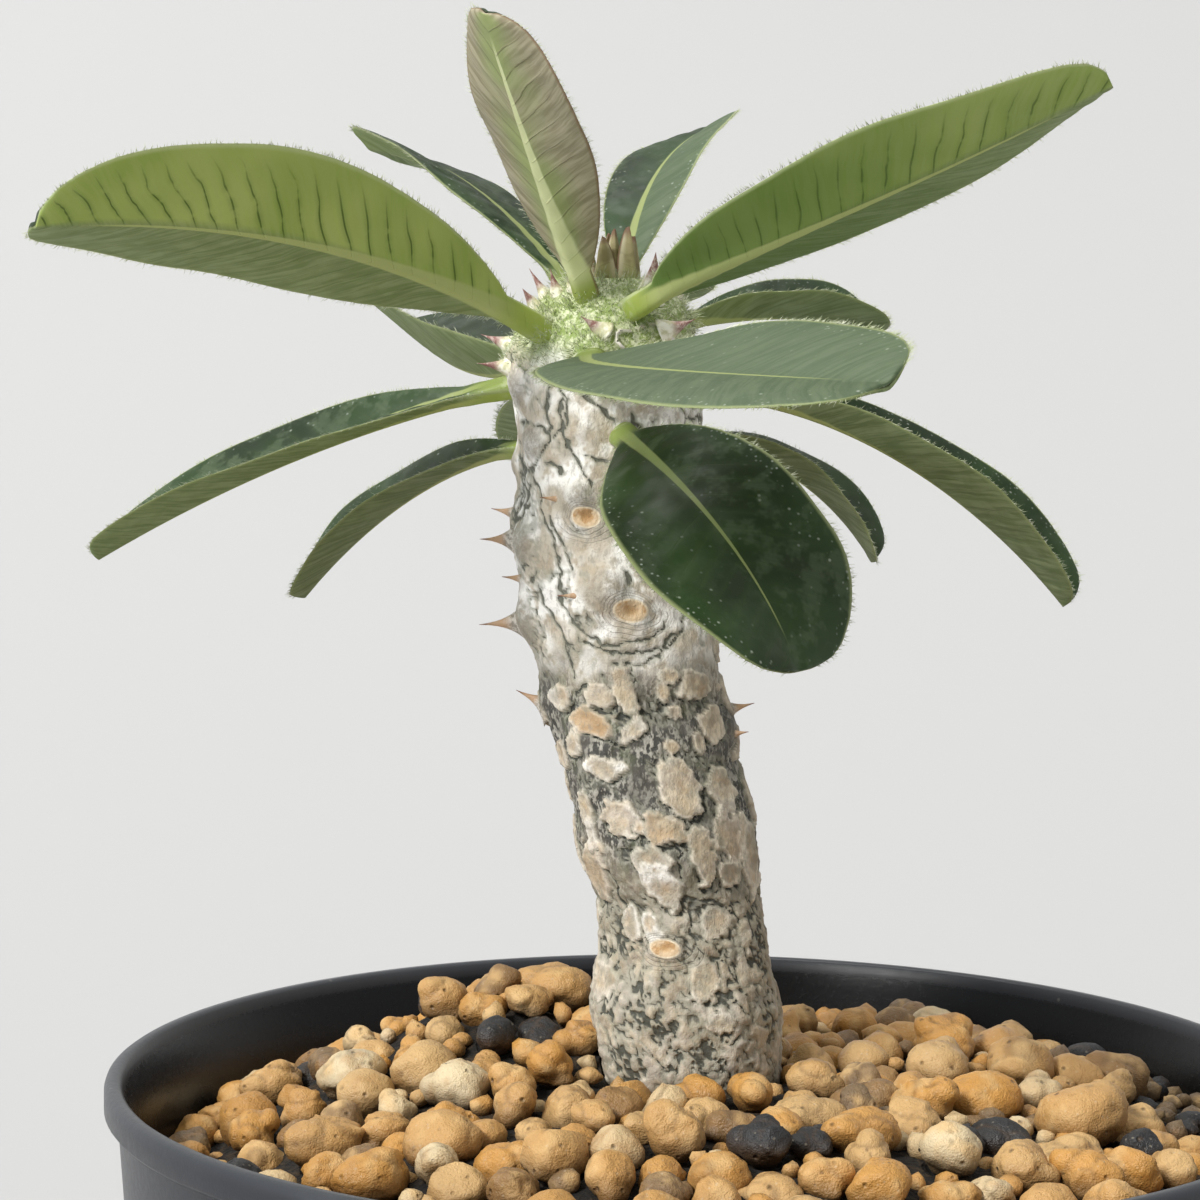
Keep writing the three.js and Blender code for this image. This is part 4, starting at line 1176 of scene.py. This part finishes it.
def make_fringe(name, frames, length, width, fold, seed, material):
    """Short white hairs along both margins of a leaf."""
    draw = random.Random(1000 + seed)
    strands = []
    lean, flat = math.sin(math.radians(fold)), math.cos(math.radians(fold))
    for i in range(int(length * 8) * 2):
        hand = 1 if i % 2 else -1
        share = 1 - (1 - draw.uniform(0.08, 0.995)) ** 1.3
        point, across, upper, along = frame_at(frames, share)
        half = half_width(share, width)
        wave = noise.noise(Vector((share * 4.2, hand * 0.8, seed * 1.7)))
        rise = lean * half * 0.9 * min(share * 6, 1) + 0.55 * wave * half / 6 * min(share * 6, 1)
        root = point + across * (hand * half * flat * 0.995) + upper * rise
        out = across * (hand * flat) + upper * (lean + draw.uniform(-0.5, 0.5))
        out += along * draw.uniform(-0.2, 0.8)
        strands.append((root, out.normalized(), draw.uniform(0.2, 0.65)))
    add_strands(name, strands, 0.024, material, "leaf")


def make_bud(material):
    """Folded scale leaves standing round the growing tip, with two more closed inside them."""
    rows = [(f"young_leaf_{number}", (f"bud_leaf_{number}",), BUD_CIRCLE, *row)
            for number, row in enumerate(BUD_LEAVES, 1)]
    rows += [
        ("young_leaf_6", (), 0.7, -75, 88, 4.9, 1.8), ("young_leaf_7", (), 0.7, 70, 88, 5.0, 1.8)]
    for number, (name, nodes, circle, azimuth, rise, length, width) in enumerate(rows):
        start = on_stem(BUD_HEIGHT, math.radians(azimuth), circle)
        frames = blade_path(start, azimuth, 0, rise, rise + 14, 1, length, 0, 0)
        mesh = shape_blade(frames, length, width, 42, number * 3, 24, 32, (0, 0, 0, 0, 0), 1.0)
        add_piece(name, mesh, material, "bud", *nodes)


def make_crown_wool(material):
    """Downy hairs lying upwards over the crown, standing on its tip and round the leaf feet."""
    draw = random.Random(77)
    strands = []
    for _ in range(SIDE_HAIRS):
        height, angle = draw.uniform(132.4, 139.3), draw.uniform(-math.pi, math.pi)
        root = on_stem(height, angle, caudex_radius(height, angle))
        along = heading_for(angle) * draw.uniform(0.25, 0.9)
        along += level_across(angle) * draw.uniform(-0.7, 0.7)
        along += Vector((0, 0, draw.uniform(0.1, 1.0)))
        strands.append((root, along.normalized(), draw.uniform(0.3, 0.8)))
    for _ in range(TIP_HAIRS):
        angle, reach = draw.uniform(-math.pi, math.pi), 4.4 * math.sqrt(draw.random())
        height = 139.5 - 1.9 * max(reach - 2.6, 0) / 1.8
        root = Vector((
            table_at(138, 1) + reach * math.cos(angle), reach * math.sin(angle), height - 0.3))
        along = Vector((0.3 * reach * math.cos(angle), 0.3 * reach * math.sin(angle), 1))
        along += any_way(draw) * 0.5
        strands.append((root, along.normalized(), draw.uniform(0.6, 1.5)))
    for _, height, azimuth, _, rise, *_ in LEAVES:
        if height < 132:
            continue
        foot = leaf_root(height, azimuth, rise)
        outward = heading_for(math.radians(azimuth), math.radians(rise))
        for _ in range(FOOT_HAIRS):
            ring = outward.cross(any_way(draw)).normalized()
            root = foot + outward * draw.uniform(1.1, 2.9) + ring * draw.uniform(1.2, 1.75)
            along = outward * draw.uniform(0.3, 1.0) + ring * draw.uniform(0.2, 0.8)
            along += any_way(draw) * 0.3
            strands.append((root, along.normalized(), draw.uniform(0.4, 0.9)))
    add_strands("crown_wool", strands, 0.03, material, "bark")


# ---- Gravel and pot ----


def gravel_height(x, y):
    """The bed's surface: low along the wall, banked at the far left and a little in front."""
    wall = 6 * (math.hypot(x, y) / 43) ** 3
    bank = 5.5 * math.exp(-((x + 16) ** 2 + (y - 11) ** 2) / 170)
    front = math.exp(-(x ** 2 + (y + 25) ** 2) / 300)
    return 79 - wall + bank + front + 0.04 * x


def pot_radius(height):
    return POT_FOOT_RADIUS + (POT_RIM_RADIUS - LIP_OVERHANG - POT_FOOT_RADIUS) * height / POT_HEIGHT


def lobe_reach(way, lobes):
    """How far the grown-together lobes reach in one direction, and how near a crease is."""
    reach, second = 0.3, 0.0
    for lobe, away, size in lobes:
        along = way.dot(lobe) * away
        inside = size * size - away * away + along * along
        if inside > 0:
            bulge = along + math.sqrt(inside)
            if bulge > reach:
                reach, second = bulge, reach
            else:
                second = max(second, bulge)
    return reach, 1 - smooth(0.0, 0.10, reach - second)


def shape_pebble(centre, radius, detail, tone, seed):
    """A knobbly grain: a few round lobes grown together and chipped flat here and there."""
    draw = random.Random(seed)
    mesh = bmesh.new()
    bmesh.ops.create_icosphere(mesh, subdivisions=detail, radius=1.0)
    [layer] = add_layers(mesh, "grain")
    count = draw.choice((1, 3, 4, 6))
    lobes = [(any_way(draw), 0.0, 0.80 if count > 1 else 0.98)]
    for _ in range(count):
        lobes.append((any_way(draw), draw.uniform(0.35, 0.75), draw.uniform(0.40, 0.62)))
    chips = [(any_way(draw), draw.uniform(0.68, 0.90)) for _ in range(draw.choice((3, 5, 7)))]
    shift = any_way(draw) * 40
    squat = Vector((draw.uniform(0.92, 1.25), draw.uniform(0.85, 1.08), draw.uniform(0.78, 1.0)))
    turn = Matrix.Rotation(draw.uniform(0, 6.28), 3, "Z")
    turn = turn @ Matrix.Rotation(draw.uniform(-0.7, 0.7), 3, "X")
    chance = draw.random()
    for vertex in mesh.verts:
        way = vertex.co.normalized()
        reach, crease = lobe_reach(way, lobes)
        for chip, depth in chips:
            facing = way.dot(chip)
            if facing > 0.5:
                reach = min(reach, blend(depth / facing, reach, 0.15))
        reach += 0.07 * noise.noise(way * 1.8 + shift) + 0.035 * noise.noise(way * 5.0 + shift)
        pit = 0.0
        if detail > 3:
            holes, _ = noise.voronoi(way * 3.0 + shift)
            pitted = smooth(0.0, 0.3, noise.noise(way * 1.6 - shift))
            pit = (1 - smooth(0.12, 0.30, holes[0])) * pitted
            reach += 0.02 * noise.noise(way * 11.0 + shift)
        reach *= (1 - 0.10 * pit) * radius
        # Painted shade: the second value darkens the creases between lobes, the pits and the
        # grain's lower side.
        low = 0.9 * smooth(-0.55, 0.65, -(turn @ way).z)
        vertex[layer] = (tone, max(crease * 0.5, pit * 0.8, low), chance)
        vertex.co = turn @ (way * squat) * reach + centre
    return mesh


def lies_in_hollow(spot):
    """Whether a place is in the low stretch of the bed along the right wall, where the grains are
    painted dark as shade.
    """
    return spot.x > 32.5 and -6 < spot.y < 24


def settle_grains():
    """Places the fill grains so that they lie side by side between the larger ones."""
    draw = random.Random(41)
    placed = [(Vector((x, y)), radius) for x, y, radius, _ in STONES]
    stem = Vector((table_at(79, 1), 0))
    for attempt in range(GRAIN_TRIES):
        angle, reach = draw.uniform(-math.pi, math.pi), GRAIN_CIRCLE * math.sqrt(draw.random())
        spot = Vector((reach * math.cos(angle), reach * math.sin(angle)))
        radius = draw.choice(COARSE_GRAINS if attempt < COARSE_TRIES else FINE_GRAINS)
        if spot.length > pot_radius(gravel_height(*spot)) - POT_WALL - radius * 1.05:
            continue
        if (spot - stem).length < caudex_radius(79, 0) + radius * 0.8:
            continue
        if lies_in_hollow(spot) and radius > 1.3:
            continue
        if all((spot - other).length > (radius + size) * 0.84 for other, size in placed):
            placed.append((spot, radius))
    return placed[len(STONES):]


def pick_tone(draw):
    """Mostly tan to ochre grains, with a few pale, brown and black ones."""
    chance = draw.random()
    if chance < 0.03:
        return 1.0
    if chance < 0.12:
        return draw.uniform(0.0, 0.08)
    if chance < 0.32:
        return draw.uniform(0.76, 0.86)
    return draw.uniform(0.16, 0.70)


def make_gravel(material):
    """The larger grains piece by piece, then the fill in a front and a rear piece."""
    draw = random.Random(9)
    for number, (x, y, radius, kind) in enumerate(STONES, 1):
        centre = Vector((x, y, gravel_height(x, y) + 0.15 * radius))
        mesh = shape_pebble(centre, radius, 4, PEBBLE_TONES[kind], 500 + number)
        add_piece(f"pebble_{number:02d}", mesh, material, f"stone_{kind}", f"stone_{number:02d}")
    front, rear = bmesh.new(), bmesh.new()
    for mesh in (front, rear):
        add_layers(mesh, "grain")
    for number, (spot, radius) in enumerate(settle_grains()):
        lift = draw.uniform(-0.9, 0.5) if radius > 1.7 else draw.uniform(-1.1, 0.0)
        centre = Vector((spot.x, spot.y, gravel_height(*spot) - 0.1 * radius + lift))
        near = spot.y < 4
        if radius < 1.6:
            detail = 2
        else:
            detail = 4 if near or (spot.x < -5 and spot.y < 18) else 3
        tone = pick_tone(draw)
        # Grains along the right wall get painted shade.
        if lies_in_hollow(spot):
            tone = HOLLOW_SHADE_TONES[number % 2]
        pour(front if near else rear, shape_pebble(centre, radius, detail, tone, 2000 + number))
    add_piece("gravel_front", front, material, "gravel_bed")
    add_piece("gravel_rear", rear, material, "gravel_bed")


def make_pot(material):
    """The wall's outline spun round the axis, with drain holes cut through the floor."""
    lip_base = POT_HEIGHT - LIP_HEIGHT
    outline = (
        (0, 0), (20, 0), (pot_radius(0) - 1.0, 0), (pot_radius(0) - 0.3, 0.25),
        (pot_radius(1), 1.0), (pot_radius(1.6), 1.6), (pot_radius(20), 20), (pot_radius(50), 50),
        (pot_radius(lip_base) - 0.02, lip_base - 0.6), (pot_radius(lip_base) + 0.05, lip_base),
        (POT_RIM_RADIUS - 0.25, lip_base + 0.1), (POT_RIM_RADIUS, lip_base + 0.4),
        (POT_RIM_RADIUS, POT_HEIGHT - 0.55), (POT_RIM_RADIUS - 0.12, POT_HEIGHT - 0.2),
        (POT_RIM_RADIUS - 0.4, POT_HEIGHT), (POT_RIM_RADIUS - 0.95, POT_HEIGHT),
        (POT_RIM_RADIUS - 1.25, POT_HEIGHT - 0.25), (POT_RIM_RADIUS - 1.4, POT_HEIGHT - 1.0),
        (pot_radius(lip_base) - POT_WALL, lip_base), (pot_radius(50) - POT_WALL, 50),
        (pot_radius(20) - POT_WALL, 20), (pot_radius(POT_FLOOR) - POT_WALL, POT_FLOOR + 0.8),
        (pot_radius(POT_FLOOR) - POT_WALL - 0.8, POT_FLOOR), (20, POT_FLOOR), (0, POT_FLOOR),
    )
    mesh = bmesh.new()
    points = [mesh.verts.new((radius, 0, height)) for radius, height in outline]
    edges = [mesh.edges.new(pair) for pair in zip(points, points[1:])]
    bmesh.ops.spin(
        mesh, geom=points + edges, axis=(0, 0, 1), cent=(0, 0, 0), angle=2 * math.pi, steps=160,
        use_merge=True)
    bmesh.ops.remove_doubles(mesh, verts=mesh.verts, dist=0.0005)
    pot = add_piece("nursery_pot", mesh, material, "pot_plastic", "pot")
    cutter = bmesh.new()
    for number in range(DRAIN_COUNT):
        angle = (number + 0.5) * 2 * math.pi / DRAIN_COUNT
        place = Matrix.Translation((
            DRAIN_CIRCLE * math.cos(angle) * MM, DRAIN_CIRCLE * math.sin(angle) * MM, 0))
        bmesh.ops.create_cone(
            cutter, cap_ends=True, segments=32, radius1=DRAIN_RADIUS * MM,
            radius2=DRAIN_RADIUS * MM, depth=10 * MM, matrix=place)
    drill_data = bpy.data.meshes.new("drill")
    cutter.to_mesh(drill_data)
    cutter.free()
    drill = bpy.data.objects.new("drill", drill_data)
    bpy.context.collection.objects.link(drill)
    cut = pot.modifiers.new("drains", "BOOLEAN")
    cut.object = drill
    cut.solver = "EXACT"
    drilled = pot.evaluated_get(bpy.context.evaluated_depsgraph_get())
    shaped = bpy.data.meshes.new_from_object(drilled)
    pot.modifiers.clear()
    pot.data = shaped
    bpy.data.objects.remove(drill)


def dress_bed(material):
    """The solid bed under the grains keeps its shape and gets its finish."""
    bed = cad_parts["gravel_bed"]
    bed.data.materials.clear()
    bed.data.materials.append(material)


add_camera()
add_studio()
add_stage()
grit_group = make_grit_group()
speck_group = make_speck_group()
leaf_finish = make_leaf_finish(grit_group, speck_group)
hair_finish = make_hair_finish(grit_group)
make_pot(make_pot_plastic(grit_group, speck_group))
make_caudex(make_bark_finish(grit_group))
make_spines(make_spine_finish(grit_group))
for leaf_number, leaf_row in enumerate(LEAVES):
    make_leaf(leaf_row, leaf_number, leaf_finish, hair_finish)
make_bud(leaf_finish)
make_crown_wool(hair_finish)
make_gravel(make_pebble_finish(grit_group, speck_group))
dress_bed(make_bed_finish(grit_group))
